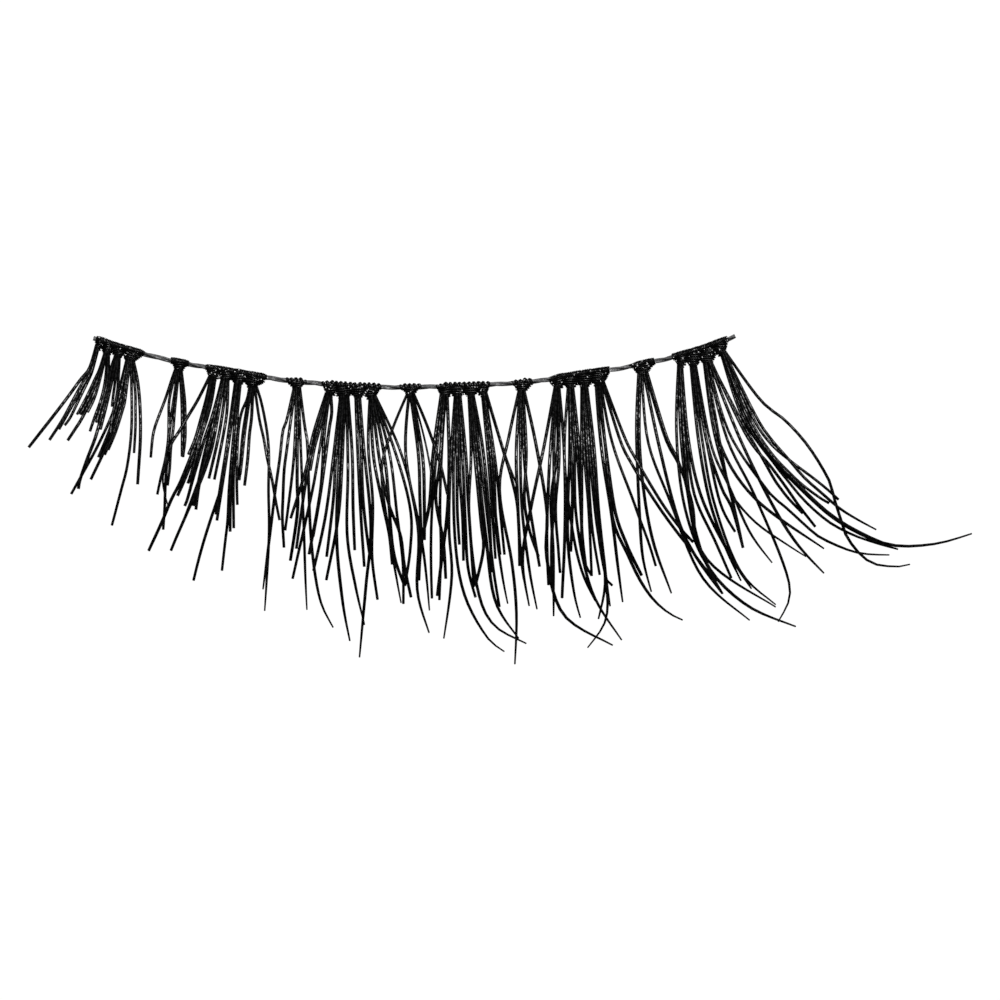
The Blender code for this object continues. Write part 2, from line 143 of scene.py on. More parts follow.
# The band's own line, left end to right end
BAND_PATH = (
    Place(-20.30, 8.00), Place(-19.00, 7.56), Place(-17.40, 7.13), Place(-16.00, 6.81),
    Place(-13.40, 6.33), Place(-11.00, 5.95), Place(-8.00, 5.66), Place(-5.40, 5.56),
    Place(-2.60, 5.61), Place(0.00, 5.72), Place(2.10, 5.90), Place(4.00, 6.20),
    Place(6.00, 6.50), Place(8.30, 6.97), Place(10.00, 7.43), Place(11.00, 7.80),
    Place(11.78, 8.12),
)

# The wrapped stretches of the band, left to right
SEAMS = (
    Seam(-20.15, -17.75, Wrap.CLOSE, 1.00, 0.60), Seam(-16.42, -15.52, Wrap.CLOSE, 0.85, 0.70),
    Seam(-14.68, -11.62, Wrap.CLOSE, 0.80, 0.60), Seam(-10.64, -9.65, Wrap.LUMPY, 0.80, 0.65),
    Seam(-8.85, -5.95, Wrap.LUMPY, 0.75, 0.90), Seam(-4.95, -3.95, Wrap.LUMPY, 0.75, 0.85),
    Seam(-3.15, -0.48, Wrap.LUMPY, 0.65, 0.75), Seam(0.60, 1.70, Wrap.LUMPY, 0.60, 0.85),
    Seam(2.42, 5.50, Wrap.CLOSE, 0.50, 0.95), Seam(6.50, 7.75, Wrap.CLOSE, 0.55, 0.95),
    Seam(8.66, 11.42, Wrap.CLOSE, 0.95, 0.85),
)

TUFTS = (
    Tuft(1, Place(-20.08, 7.42), 0.27, (
        blunt((-20.48, 6.52), (-20.92, 5.95), (-21.64, 4.95), (-22.38, 3.98), (-23.50, 2.55)),
        blunt((-20.40, 6.47), (-20.82, 5.78), (-21.25, 4.98), (-21.78, 3.98), (-22.46, 2.92)),
        blunt((-20.34, 6.47), (-20.76, 5.73), (-21.17, 4.93), (-21.98, 3.46)),
        blunt((-20.32, 6.47), (-20.50, 5.98), (-20.98, 4.98), (-21.42, 4.05), (-21.70, 3.66)),
    )),
    Tuft(1, Place(-19.62, 7.16), 0.30, (
        blunt((-19.98, 6.48), (-20.20, 5.98), (-20.66, 4.98), (-21.08, 4.20)),
        blunt((-20.14, 5.58), (-20.38, 4.93), (-20.86, 3.96), (-21.16, 3.48), (-21.54, 2.90)),
        blunt((-20.06, 5.98), (-20.50, 4.98), (-20.92, 4.20)),
        blunt((-19.95, 5.98), (-20.24, 4.98), (-20.55, 4.31)),
        blunt((-19.68, 5.98), (-19.88, 4.98), (-20.23, 3.98), (-20.43, 3.36)),
        blunt((-19.60, 5.90), (-19.76, 5.08), (-20.12, 3.80)),
        blunt((-19.57, 5.20), (-19.95, 3.85)),
    )),
    Tuft(1, Place(-19.06, 7.02), 0.30, (
        blunt((-19.40, 6.48), (-19.60, 5.18), (-19.90, 3.98), (-20.18, 2.98), (-20.56, 1.98),
              (-20.91, 0.98), (-21.00, 0.48)),
        blunt((-19.50, 5.20), (-19.91, 3.45)),
        blunt((-19.18, 5.98), (-19.30, 4.98), (-19.34, 4.60)),
        blunt((-19.04, 5.88), (-19.12, 5.08), (-19.31, 4.18), (-19.42, 3.28)),
    )),
    Tuft(1, Place(-18.48, 6.78), 0.42, (
        blunt((-18.96, 5.58), (-19.26, 4.43), (-19.60, 3.58), (-20.18, 2.38), (-20.70, 1.43),
              (-21.38, 0.22)),
        blunt((-18.90, 5.48), (-19.08, 4.68), (-19.48, 3.38), (-20.02, 2.06)),
        blunt((-18.78, 4.98), (-18.93, 4.38), (-19.30, 3.18), (-19.70, 2.18)),
        blunt((-18.88, 5.00), (-19.13, 3.98), (-19.43, 3.08), (-19.88, 2.03), (-20.40, 0.94)),
        blunt((-18.70, 4.98), (-18.84, 4.38), (-19.18, 3.28), (-19.53, 2.43)),
        blunt((-18.36, 4.40), (-18.41, 2.90), (-18.60, 1.50), (-18.86, 0.48), (-19.35, -1.35)),
        blunt((-18.20, 5.40), (-18.18, 4.48), (-18.18, 3.48), (-18.24, 2.27)),
        blunt((-18.10, 5.98), (-17.98, 4.98), (-17.93, 3.90), (-17.93, 2.90), (-17.98, 1.95),
              (-18.06, 0.70)),
    )),
    Tuft(0, Place(-16.05, 6.30), 0.38, (
        blunt((-16.36, 6.00), (-16.68, 5.00), (-17.05, 4.00), (-17.22, 3.50), (-17.32, 3.00),
              (-17.40, 2.05)),
        blunt((-16.48, 5.00), (-16.51, 4.00), (-16.53, 3.00), (-16.66, 2.00), (-16.90, 1.00),
              (-17.07, 0.20)),
        wisp((-16.40, 4.00), (-16.62, 2.00), (-16.76, 1.30), (-16.79, 0.80), (-16.68, 0.15),
             (-16.51, -0.44)),
        blunt((-16.42, 3.80), (-16.58, 1.90), (-16.65, 0.95), (-16.69, 0.00), (-16.71, -0.55),
              (-16.78, -1.55)),
        blunt((-16.20, 4.60), (-16.28, 3.50), (-16.40, 2.50), (-16.45, 1.50), (-16.55, 0.65)),
        blunt((-15.85, 4.40), (-15.84, 2.10)),
        blunt((-15.74, 5.00), (-15.70, 4.00), (-15.70, 3.00), (-15.80, 2.07)),
    )),
    Tuft(2, Place(-14.32, 5.94), 0.40, (
        blunt((-14.75, 5.56), (-15.11, 4.85), (-15.52, 4.15), (-15.97, 3.38), (-16.34, 2.79),
              (-16.50, 2.33)),
        blunt((-14.64, 5.00), (-14.90, 4.00), (-15.18, 3.00), (-15.52, 2.20)),
        blunt((-14.80, 4.00), (-15.10, 2.90), (-15.61, 1.56), (-15.97, 0.70), (-16.34, 0.00),
              (-16.80, -1.08), (-17.50, -2.60)),
        blunt((-14.72, 4.00), (-15.05, 2.80), (-15.45, 1.60), (-15.75, 0.83), (-16.06, 0.13)),
        blunt((-14.42, 5.00), (-14.67, 4.00), (-14.98, 3.00), (-15.17, 2.00), (-15.50, 0.80)),
        blunt((-14.36, 5.00), (-14.60, 4.00), (-14.92, 3.00), (-15.13, 2.00), (-15.54, 0.75)),
    )),
    Tuft(2, Place(-13.70, 5.84), 0.42, (
        blunt((-14.05, 5.20), (-14.38, 4.00), (-14.72, 3.00), (-15.00, 2.00), (-15.29, 1.00),
              (-15.56, 0.00), (-15.71, -0.38)),
        blunt((-14.52, 2.80), (-14.95, 0.90), (-15.15, -0.56)),
        blunt((-14.25, 3.00), (-14.60, 1.70), (-15.06, 0.50), (-15.43, -0.35), (-15.79, -1.17),
              (-16.15, -1.99), (-16.40, -2.60)),
        blunt((-14.60, 2.80), (-15.28, -0.38)),
        blunt((-14.65, 2.00), (-15.80, -1.20)),
        blunt((-13.95, 3.50), (-14.50, 1.00)),
        blunt((-13.60, 4.60), (-13.75, 3.40), (-14.23, 0.95)),
    )),
    Tuft(2, Place(-13.06, 5.72), 0.40, (
        blunt((-13.85, 0.90), (-14.06, 0.00), (-14.40, -1.00), (-14.72, -2.00), (-15.00, -3.00),
              (-15.27, -4.08)),
        blunt((-13.65, 2.40), (-14.15, -0.80)),
        blunt((-13.60, 2.20), (-14.10, -1.10)),
        blunt((-13.45, 1.10), (-13.56, -1.00), (-13.67, -2.00), (-13.85, -3.59)),
        blunt((-13.38, 1.80), (-13.44, -1.65)),
        blunt((-13.25, 1.90), (-13.26, -1.48)),
    )),
    Tuft(2, Place(-12.34, 5.52), 0.40, (
        blunt((-12.60, 5.00), (-12.85, 4.40), (-13.00, 3.70), (-13.08, 2.60), (-13.10, 1.00),
              (-13.07, -0.32)),
        blunt((-12.66, 4.20), (-12.82, 3.00), (-12.98, 0.92)),
        blunt((-12.62, 4.00), (-12.74, 3.00), (-12.92, 1.20)),
        blunt((-12.38, 4.10), (-12.48, 3.20), (-12.56, 2.00), (-12.71, 0.65)),
        blunt((-12.00, 4.00), (-11.77, 3.00), (-11.59, 2.00), (-11.36, 1.00), (-11.18, 0.00),
              (-10.97, -1.08)),
        fine((-11.95, 5.00), (-11.72, 4.00), (-11.56, 3.00), (-11.50, 2.00), (-11.52, 0.50),
             (-11.50, -2.00), (-11.72, -5.60)),
    )),
    Tuft(0, Place(-10.12, 5.44), 0.38, (
        fine((-10.62, 3.95), (-10.82, 3.37), (-10.97, 2.00), (-11.18, 0.50), (-11.36, -1.00),
             (-11.61, -3.00), (-11.81, -4.53)),
        blunt((-10.60, 2.60), (-10.75, 1.40), (-10.81, 0.00), (-10.84, -1.00), (-10.76, -2.45)),
        blunt((-10.27, 2.00), (-10.70, -1.60)),
        blunt((-10.10, 1.00), (-10.08, -0.60), (-10.44, -3.10)),
        fine((-9.90, 2.00), (-9.75, -2.00), (-9.68, -4.20), (-9.62, -5.55)),
        fine((-9.74, 3.68), (-9.58, 2.54), (-9.42, -1.80), (-9.00, -4.90), (-8.32, -6.44)),
    )),
    Tuft(3, Place(-8.54, 5.12), 0.32, (
        blunt((-9.30, 3.20), (-9.70, 1.30), (-10.42, -1.00)),
        blunt((-9.15, 3.20), (-9.60, 1.20), (-10.14, -2.50)),
        blunt((-8.79, 4.24), (-9.02, 3.33), (-9.25, 2.47), (-9.44, 1.40)),
        blunt((-9.02, 2.20), (-9.42, 0.00), (-10.33, -3.99)),
        blunt((-8.75, 3.20), (-8.92, 0.50), (-9.50, -2.78)),
        blunt((-8.38, 4.30), (-8.50, 3.50), (-8.88, 0.60), (-9.30, -1.90)),
    )),
    Tuft(3, Place(-7.76, 5.00), 0.50, (
        blunt((-8.30, 2.00), (-8.70, -1.00), (-9.28, -3.60)),
        blunt((-8.17, 2.00), (-8.28, 0.00), (-8.62, -2.90)),
        fine((-8.02, 1.50), (-8.12, -2.00), (-7.82, -5.20), (-7.48, -7.10)),
        blunt((-7.85, 1.80), (-8.05, -1.00), (-8.64, -4.06)),
        fine((-7.56, 1.50), (-7.60, -1.80), (-7.20, -4.30), (-6.75, -6.30)),
        blunt((-7.35, 2.20), (-7.30, -0.60), (-7.22, -2.57)),
    )),
    Tuft(3, Place(-7.10, 5.04), 0.34, (
        blunt((-7.10, 2.80), (-6.94, -0.50), (-6.75, -3.40)),
        blunt((-6.92, 2.80), (-6.80, -0.20), (-6.50, -2.70)),
        fine((-6.78, 2.60), (-6.42, -1.40), (-6.66, -4.30), (-7.00, -7.93)),
    )),
    Tuft(3, Place(-6.36, 4.95), 0.38, (
        blunt((-6.55, 2.60), (-6.32, -0.20), (-6.36, -2.90), (-6.09, -5.04)),
        blunt((-6.30, 2.20), (-5.84, -0.20), (-5.50, -1.80), (-5.35, -3.28)),
        blunt((-6.00, 2.00), (-5.55, -0.20), (-4.95, -1.80), (-4.75, -3.30), (-4.42, -4.92)),
        blunt((-5.70, 1.80), (-5.33, -2.40), (-4.80, -4.20)),
        blunt((-5.50, 2.30), (-5.10, -0.90), (-4.82, -3.20), (-4.80, -5.25)),
        blunt((-5.20, 2.30), (-4.45, -0.50), (-4.45, -2.50), (-4.72, -4.35)),
        fine((-5.00, 2.50), (-4.20, -0.40), (-3.75, -3.00), (-3.50, -5.58)),
    )),
    Tuft(0, Place(-4.45, 5.10), 0.36, (
        fine((-5.40, 3.30), (-5.88, 1.30), (-5.45, -2.10), (-4.92, -5.20)),
        fine((-4.68, 2.20), (-4.05, -1.60), (-4.10, -4.60), (-3.52, -6.70)),
        blunt((-4.05, 2.20), (-3.97, 0.00), (-3.90, -1.90)),
        blunt((-3.85, 2.20), (-3.75, -0.20), (-3.75, -2.07)),
        wisp((-3.80, 3.20), (-3.45, 1.50), (-3.40, 0.60)),
        blunt((-3.60, 3.60), (-2.95, 1.70), (-2.60, 0.20)),
    )),
    Tuft(4, Place(-2.76, 5.06), 0.42, (
        blunt((-3.32, 2.20), (-3.50, -0.30), (-3.90, -2.20), (-4.02, -4.08)),
        blunt((-3.15, 2.20), (-3.38, -0.80), (-3.42, -2.80), (-3.37, -4.98)),
        blunt((-2.98, 1.80), (-3.18, 0.00), (-2.80, -2.20), (-2.68, -4.00)),
        blunt((-2.88, 2.40), (-2.97, -0.30), (-2.92, -2.60), (-3.00, -5.06)),
        blunt((-2.52, 2.20), (-2.60, -0.60), (-2.88, -3.00), (-3.10, -4.85)),
    )),
    Tuft(4, Place(-2.10, 5.06), 0.37, (
        fine((-2.42, 2.20), (-2.52, -1.40), (-2.38, -3.90), (-2.78, -6.98)),
        fine((-2.30, 1.20), (-2.18, -2.50), (-1.70, -4.95), (-0.65, -6.90), (0.23, -7.65)),
        blunt((-2.12, 1.50), (-2.10, -0.60), (-2.00, -2.30)),
        blunt((-1.98, 1.20), (-1.84, -1.00), (-1.80, -3.10)),
        blunt((-1.84, 2.00), (-1.70, -1.20), (-1.58, -3.40), (-1.20, -4.92)),
        blunt((-1.68, 2.20), (-1.58, 0.20), (-1.40, -2.60), (-1.28, -4.40)),
    )),
    Tuft(4, Place(-1.45, 5.10), 0.34, (
        fine((-1.42, 2.20), (-1.52, -0.80), (-1.10, -4.50), (-0.30, -6.30), (1.33, -7.24)),
        blunt((-1.24, 2.20), (-0.92, -1.20), (-0.80, -2.50), (-1.17, -4.20)),
        fine((-1.10, 2.00), (-0.68, -1.90), (-0.22, -5.10), (0.95, -6.98)),
        blunt((-0.98, 2.20), (-0.62, -0.80), (-0.30, -3.60), (0.00, -5.40)),
        blunt((-0.85, 2.60), (-0.55, -0.40), (-0.38, -3.67)),
    )),
    Tuft(4, Place(-0.78, 5.14), 0.35, (
        blunt((-0.58, 2.20), (-0.38, -0.50), (-0.20, -3.00)),
        blunt((-0.45, 2.20), (-0.22, -0.60), (0.03, -2.80)),
        fine((-0.32, 2.00), (-0.15, -1.60), (0.15, -3.90), (0.41, -5.25)),
        blunt((-0.20, 1.80), (0.05, -0.80), (0.25, -2.80)),
        blunt((0.12, 2.60), (0.60, 1.00), (0.92, -0.60), (1.00, -3.36)),
        wisp((0.25, 2.30), (0.70, 1.10), (0.95, 0.40)),
    )),
    Tuft(0, Place(1.10, 5.24), 0.35, (
        fine((0.45, 3.00), (0.00, 0.40), (0.62, -3.20), (0.85, -5.80), (0.77, -8.27)),
        blunt((0.84, 2.50), (0.90, 0.00), (1.03, -2.50), (1.23, -4.03)),
        fine((1.04, 2.50), (1.12, -0.50), (1.50, -3.60), (1.87, -5.52)),
        blunt((1.22, 2.20), (1.45, 0.00), (1.68, -1.50), (2.00, -3.40)),
        blunt((1.34, 2.40), (1.24, 0.00), (1.50, -1.60), (1.95, -2.90)),
        fine((1.80, 2.80), (2.36, -0.60), (2.36, -3.00), (3.20, -5.80), (5.65, -7.33)),
    )),
    Tuft(5, Place(2.88, 5.44), 0.31, (
        fine((2.22, 2.60), (1.58, -0.40), (1.15, -3.00), (1.48, -5.35)),
        blunt((2.55, 2.60), (2.42, 0.20), (2.36, -2.00), (2.45, -4.30)),
        blunt((2.72, 2.80), (2.72, 0.00), (2.60, -2.20), (2.60, -4.15)),
        fine((2.90, 2.40), (2.58, 0.00), (2.68, -2.80), (2.70, -5.86)),
        blunt((2.98, 2.00), (2.80, -0.40), (2.93, -2.50), (3.02, -3.70)),
        blunt((3.22, 2.50), (3.27, -1.20), (3.12, -4.95)),
    )),
    Tuft(5, Place(3.54, 5.50), 0.35, (
        blunt((3.24, 2.20), (3.58, -1.20), (4.10, -3.60), (4.80, -5.10)),
        fine((3.50, 2.40), (3.40, -1.80), (3.70, -4.60), (4.04, -5.95)),
        blunt((3.56, 2.60), (3.64, 0.20), (3.56, -2.65)),
        fine((3.74, 2.40), (3.84, -1.00), (4.60, -4.60), (6.10, -7.07)),
        blunt((3.90, 2.00), (4.08, -1.00), (4.20, -3.00), (4.60, -3.85)),
        blunt((4.00, 2.20), (4.10, -1.40), (4.30, -3.30)),
    )),
    Tuft(5, Place(4.23, 5.56), 0.37, (
        blunt((4.10, 2.50), (4.10, -2.00)),
        blunt((4.22, 2.40), (4.45, -0.60), (4.60, -3.85)),
        blunt((4.38, 2.20), (4.62, -1.40), (5.00, -3.80)),
        fine((4.50, 2.20), (4.85, -1.20), (5.28, -4.00), (4.94, -6.00)),
        fine((4.62, 2.20), (4.90, -0.60), (5.30, -3.80), (5.32, -6.00), (4.41, -7.45)),
        blunt((4.65, 2.00), (4.90, -1.50), (5.30, -3.90), (5.63, -4.34)),
        fine((4.72, 2.60), (4.95, -0.60), (5.28, -3.60), (5.52, -5.37)),
    )),
    Tuft(5, Place(4.99, 5.66), 0.50, (
        fine((4.97, 3.65), (5.19, 1.70), (5.60, -0.90), (5.96, -3.80), (6.15, -5.16)),
        blunt((5.34, 2.20), (5.78, -0.70), (6.35, -2.30), (6.66, -2.98), (7.09, -3.83)),
        fine((5.30, 2.40), (5.65, -1.00), (6.40, -2.80), (6.97, -4.00), (7.50, -4.82),
             (8.02, -5.38), (8.58, -5.80), (9.14, -6.07)),
        blunt((5.42, 3.65), (5.84, 2.10), (6.63, 0.00), (6.95, -0.90), (7.45, -2.24),
              (7.79, -3.36)),
        fine((6.02, 2.90), (6.60, 1.72), (7.20, 0.72), (7.95, -0.43), (8.76, -1.56), (9.68, -2.72),
             (10.68, -4.00)),
        blunt((6.22, 3.10), (6.79, 1.98), (7.53, 0.69), (8.21, -0.40), (8.97, -1.43),
              (9.66, -2.18)),
    )),
    Tuft(0, Place(7.15, 6.16), 0.52, (
        fine((6.84, 3.40), (6.98, -0.60), (7.15, -2.90), (7.58, -4.66)),
        fine((6.98, 3.00), (7.22, 0.20), (7.68, -2.20), (8.58, -4.73)),
        fine((7.40, 2.90), (8.50, -0.10), (10.10, -3.90), (12.50, -6.08)),
        fine((7.95, 2.70), (8.90, -1.00), (9.80, -2.90), (11.12, -4.75)),
        fine((8.28, 3.00), (9.20, 1.10), (10.25, -2.90), (13.80, -5.42)),
        blunt((8.30, 3.20), (8.90, 1.90), (9.60, -0.20), (9.75, -1.80)),
    )),
    Tuft(6, Place(9.02, 6.56), 0.29, (
        fine((8.83, 3.40), (9.15, 0.00), (10.00, -2.70), (11.10, -4.30)),
        fine((9.05, 3.20), (9.45, 0.00), (10.30, -3.20), (12.30, -5.30), (14.80, -6.40)),
        fine((9.20, 3.20), (9.55, -0.50), (10.20, -3.00), (11.15, -4.75)),
        blunt((9.32, 3.20), (9.72, 0.20), (10.75, -2.10), (11.57, -3.97)),
        fine((9.42, 3.00), (10.10, 0.00), (11.60, -3.00), (12.57, -4.50)),
    )),
    Tuft(6, Place(9.66, 6.62), 0.37, (
        fine((9.90, 3.10), (10.45, 0.00), (11.30, -2.50), (12.05, -4.10)),
        fine((10.10, 3.00), (10.70, -0.20), (12.00, -3.60), (13.80, -5.30)),
        blunt((10.30, 3.00), (11.00, -0.20), (11.75, -1.66)),
        blunt((10.30, 3.00), (11.05, 0.60), (11.60, -0.50), (12.15, -2.45)),
        fine((10.55, 2.70), (11.50, 0.50), (12.50, -1.70), (13.60, -3.20)),
    )),
    Tuft(6, Place(10.36, 6.72), 0.45, (
        blunt((10.68, 3.50), (11.55, 0.20), (12.15, -2.45)),
        fine((10.95, 2.90), (12.75, 0.00), (16.20, -2.50)),
        wisp((11.35, 1.00), (11.80, -0.10), (12.90, -1.30), (14.50, -2.40), (15.30, -2.90)),
        fine((11.35, 3.00), (12.80, 0.00), (14.48, -4.30), (13.93, -6.15)),
        fine((11.50, 3.20), (13.50, 0.24), (14.00, -0.19), (14.85, -0.96), (15.46, -1.52),
             (16.02, -1.95), (17.00, -2.41), (17.81, -2.69), (18.52, -2.79), (19.48, -2.82)),
        fine((11.95, 3.10), (13.50, -0.10), (14.80, -2.20), (16.20, -3.73)),
        blunt((12.00, 4.00), (12.90, 2.40), (13.70, 0.98), (14.00, 0.54), (14.41, 0.01),
              (15.14, -0.75)),
        blunt((12.30, 3.20), (13.52, 1.62), (14.26, 0.62), (14.99, -0.42), (15.76, -1.41)),
    )),
    Tuft(6, Place(11.12, 7.16), 0.35, (
        fine((12.15, 4.00), (13.79, 1.63), (14.32, 0.96), (15.05, 0.07), (15.76, -0.63),
             (16.46, -1.19), (17.00, -1.51), (17.81, -1.89), (18.94, -2.28), (19.90, -2.54)),
        fine((12.30, 3.90), (13.50, 2.08), (14.50, 0.98), (15.50, 0.00), (16.50, -0.87),
             (17.60, -1.58), (19.00, -2.25), (19.90, -2.53)),
        fine((12.38, 4.00), (13.52, 2.20), (14.50, 1.13), (15.50, 0.10), (16.50, -0.78),
             (17.50, -1.44), (19.00, -2.17), (19.94, -2.37), (21.02, -2.35), (22.19, -2.18),
             (23.60, -1.76)),
        blunt((12.50, 4.00), (13.52, 2.32), (14.50, 1.25), (15.17, 0.63), (16.02, 0.01),
              (16.45, -0.24)),
        blunt((12.62, 4.10), (13.52, 2.75), (14.61, 1.80), (15.58, 1.07), (16.32, 0.48),
              (16.92, -0.06)),
        fine((12.75, 4.20), (13.52, 3.00), (14.41, 1.97), (15.17, 1.07), (15.99, 0.34),
             (16.99, -0.51), (17.94, -1.10), (18.80, -1.56)),
        fine((13.00, 4.95), (14.20, 3.95), (14.99, 3.13), (15.55, 2.40), (16.02, 1.66),
             (16.44, 0.90), (16.64, 0.25), (16.79, -0.31), (17.04, -1.07), (17.31, -1.87),
             (17.85, -2.62), (18.35, -3.08), (18.94, -3.33), (19.98, -3.40), (20.50, -3.29)),
    )),
)


def on_table(place: tuple[float, float]) -> Vector:
    """Turn a chart place into a point of the table's plane, in metres."""
    return Vector((place[0] * MM, place[1] * MM, 0.0))


def linear(colour: Colour) -> tuple[float, float, float, float]:
    """Give a colour its full opacity."""
    return (*colour, 1.0)


class TreeWriter:
    """Writes the nodes and links of one node tree."""

    def __init__(self, name: str, kind: str) -> None:
        self.tree = bpy.data.node_groups.new(name, kind)
        self.entry = self.node("NodeGroupInput")
        self.exit = self.node("NodeGroupOutput")

    def node(self, kind: str, feeds: dict | None = None, **settings: object) -> bpy.types.Node:
        """Add a node.

        Args:
            kind: The node's type name.
            feeds: Values or sockets for its inputs, by name or by place.
            settings: The node's own options.

        Returns:
            The new node.
        """
        node = self.tree.nodes.new(kind)
        for name, value in settings.items():
            setattr(node, name, value)
        for key, value in (feeds or {}).items():
            self.feed(node.inputs[key], value)
        return node

    def feed(self, socket: bpy.types.NodeSocket, value: object) -> None:
        """Link a socket to another, or give it a value."""
        if isinstance(value, bpy.types.NodeSocket):
            self.tree.links.new(value, socket)
        else:
            socket.default_value = value

    def maths(self, operation: str, *terms: object) -> bpy.types.NodeSocket:
        """Add a Math node and return its result."""
        node = self.node("ShaderNodeMath", operation=operation)
        for place, term in enumerate(terms):
            self.feed(node.inputs[place], term)
        return node.outputs[0]

    def vector(self, operation: str, *terms: object, scale: object = None) -> bpy.types.NodeSocket:
        """Add a Vector Math node and return its vector."""
        node = self.node("ShaderNodeVectorMath", operation=operation)
        for place, term in enumerate(terms):
            self.feed(node.inputs[place], term)
        if scale is not None:
            self.feed(node.inputs["Scale"], scale)
        return node.outputs["Vector"]

    def add_input(self, name: str, kind: str, value: object = None) -> bpy.types.NodeSocket:
        """Add a named input to the tree and return where it comes in."""
        socket = self.tree.interface.new_socket(name, in_out="INPUT", socket_type=kind)
        if value is not None:
            socket.default_value = value
        return self.entry.outputs[name]

    def number(self, name: str, value: float) -> bpy.types.NodeSocket:
        """Add a number to the tree's inputs and return where it comes in."""
        return self.add_input(name, "NodeSocketFloat", value)

    def add_output(self, name: str, kind: str, value: bpy.types.NodeSocket) -> None:
        """Add a named output to the tree and feed it."""
        self.tree.interface.new_socket(name, in_out="OUTPUT", socket_type=kind)
        self.feed(self.exit.inputs[name], value)


class GeometryTree(TreeWriter):
    """A Geometry Nodes tree that makes one kind of piece."""

    def __init__(self, name: str) -> None:
        super().__init__(name, "GeometryNodeTree")
        self.tree.is_modifier = True

    def attribute(self, name: str) -> bpy.types.NodeSocket:
        """Read a number that the points carry."""
        node = self.node("GeometryNodeInputNamedAttribute", {"Name": name}, data_type="FLOAT")
        return node.outputs["Attribute"]

    def keep(
        self, geometry: bpy.types.NodeSocket, name: str, value: bpy.types.NodeSocket
    ) -> bpy.types.NodeSocket:
        """Store a number on the points."""
        feeds = {"Geometry": geometry, "Name": name, "Value": value}
        return self.node("GeometryNodeStoreNamedAttribute", feeds, data_type="FLOAT").outputs[0]

    def smooth_line(self, mesh: bpy.types.NodeSocket) -> bpy.types.NodeSocket:
        """Turn loose edges into smooth curves through their points."""
        loose = self.node("GeometryNodeMeshToCurve", {"Mesh": mesh}).outputs[0]
        smooth = self.node("GeometryNodeCurveSplineType", {"Curve": loose}, spline_type="CATMULL_ROM")
        return smooth.outputs[0]

    def tube(self, line: bpy.types.NodeSocket, radius: object, sides: object) -> bpy.types.NodeSocket:
        """Sweep a round, closed tube along a line."""
        profile = self.node("GeometryNodeCurvePrimitiveCircle", {"Resolution": sides, "Radius": 1.0})
        swept = self.node("GeometryNodeCurveToMesh", {
            "Curve": line, "Profile Curve": profile.outputs["Curve"], "Scale": radius, "Fill Caps": True,
        })
        return self.node("GeometryNodeSetShadeSmooth", {"Geometry": swept.outputs[0]}).outputs[0]

    def finish(self, geometry: bpy.types.NodeSocket, material: bpy.types.NodeSocket) -> None:
        """End the tree with real geometry and its material."""
        real = self.node("GeometryNodeRealizeInstances", {"Geometry": geometry})
        dressed = self.node("GeometryNodeSetMaterial", {"Geometry": real.outputs[0], "Material": material})
        self.add_output("Result", "NodeSocketGeometry", dressed.outputs[0])

    def grow(self, seed_mesh: bpy.types.Mesh, name: str, values: dict[str, object]) -> bpy.types.Mesh:
        """Run the tree on a mesh.

        Args:
            seed_mesh: The lines or faces that the tree grows from.
            name: The new mesh's name.
            values: The tree's inputs by name.

        Returns:
            The finished mesh.
        """
        carrier = bpy.data.objects.new(name, seed_mesh)
        bpy.context.scene.collection.objects.link(carrier)
        modifier = carrier.modifiers.new(self.tree.name, "NODES")
        modifier.node_group = self.tree
        for item in self.tree.interface.items_tree:
            if item.in_out == "INPUT" and item.name in values:
                modifier[item.identifier] = values[item.name]
        graph = bpy.context.evaluated_depsgraph_get()
        graph.update()
        mesh = bpy.data.meshes.new_from_object(carrier.evaluated_get(graph))
        mesh.name = name
        carrier.modifiers.remove(modifier)
        bpy.data.objects.remove(carrier)
        return mesh


def lines_mesh(name: str, lines: list[list[Vector]], numbers: dict[str, list[float]]) -> bpy.types.Mesh:
    """Make loose lines that carry a number at each of their points.

    Args:
        name: The mesh's name.
        lines: The points of each line.
        numbers: For each attribute, one value a line or one value a point.

    Returns:
        The mesh.
    """
    work = bmesh.new()
    counts = []
    for line in lines:
        points = [work.verts.new(point) for point in line]
        for start, end in zip(points, points[1:]):
            work.edges.new((start, end))
        counts.append(len(points))
    mesh = bpy.data.meshes.new(name)
    work.to_mesh(mesh)
    work.free()
    for attribute, values in numbers.items():
        layer = mesh.attributes.new(attribute, "FLOAT", "POINT")
        if len(values) == len(lines):
            values = [value for value, count in zip(values, counts) for _ in range(count)]
        layer.data.foreach_set("value", values)
    return mesh


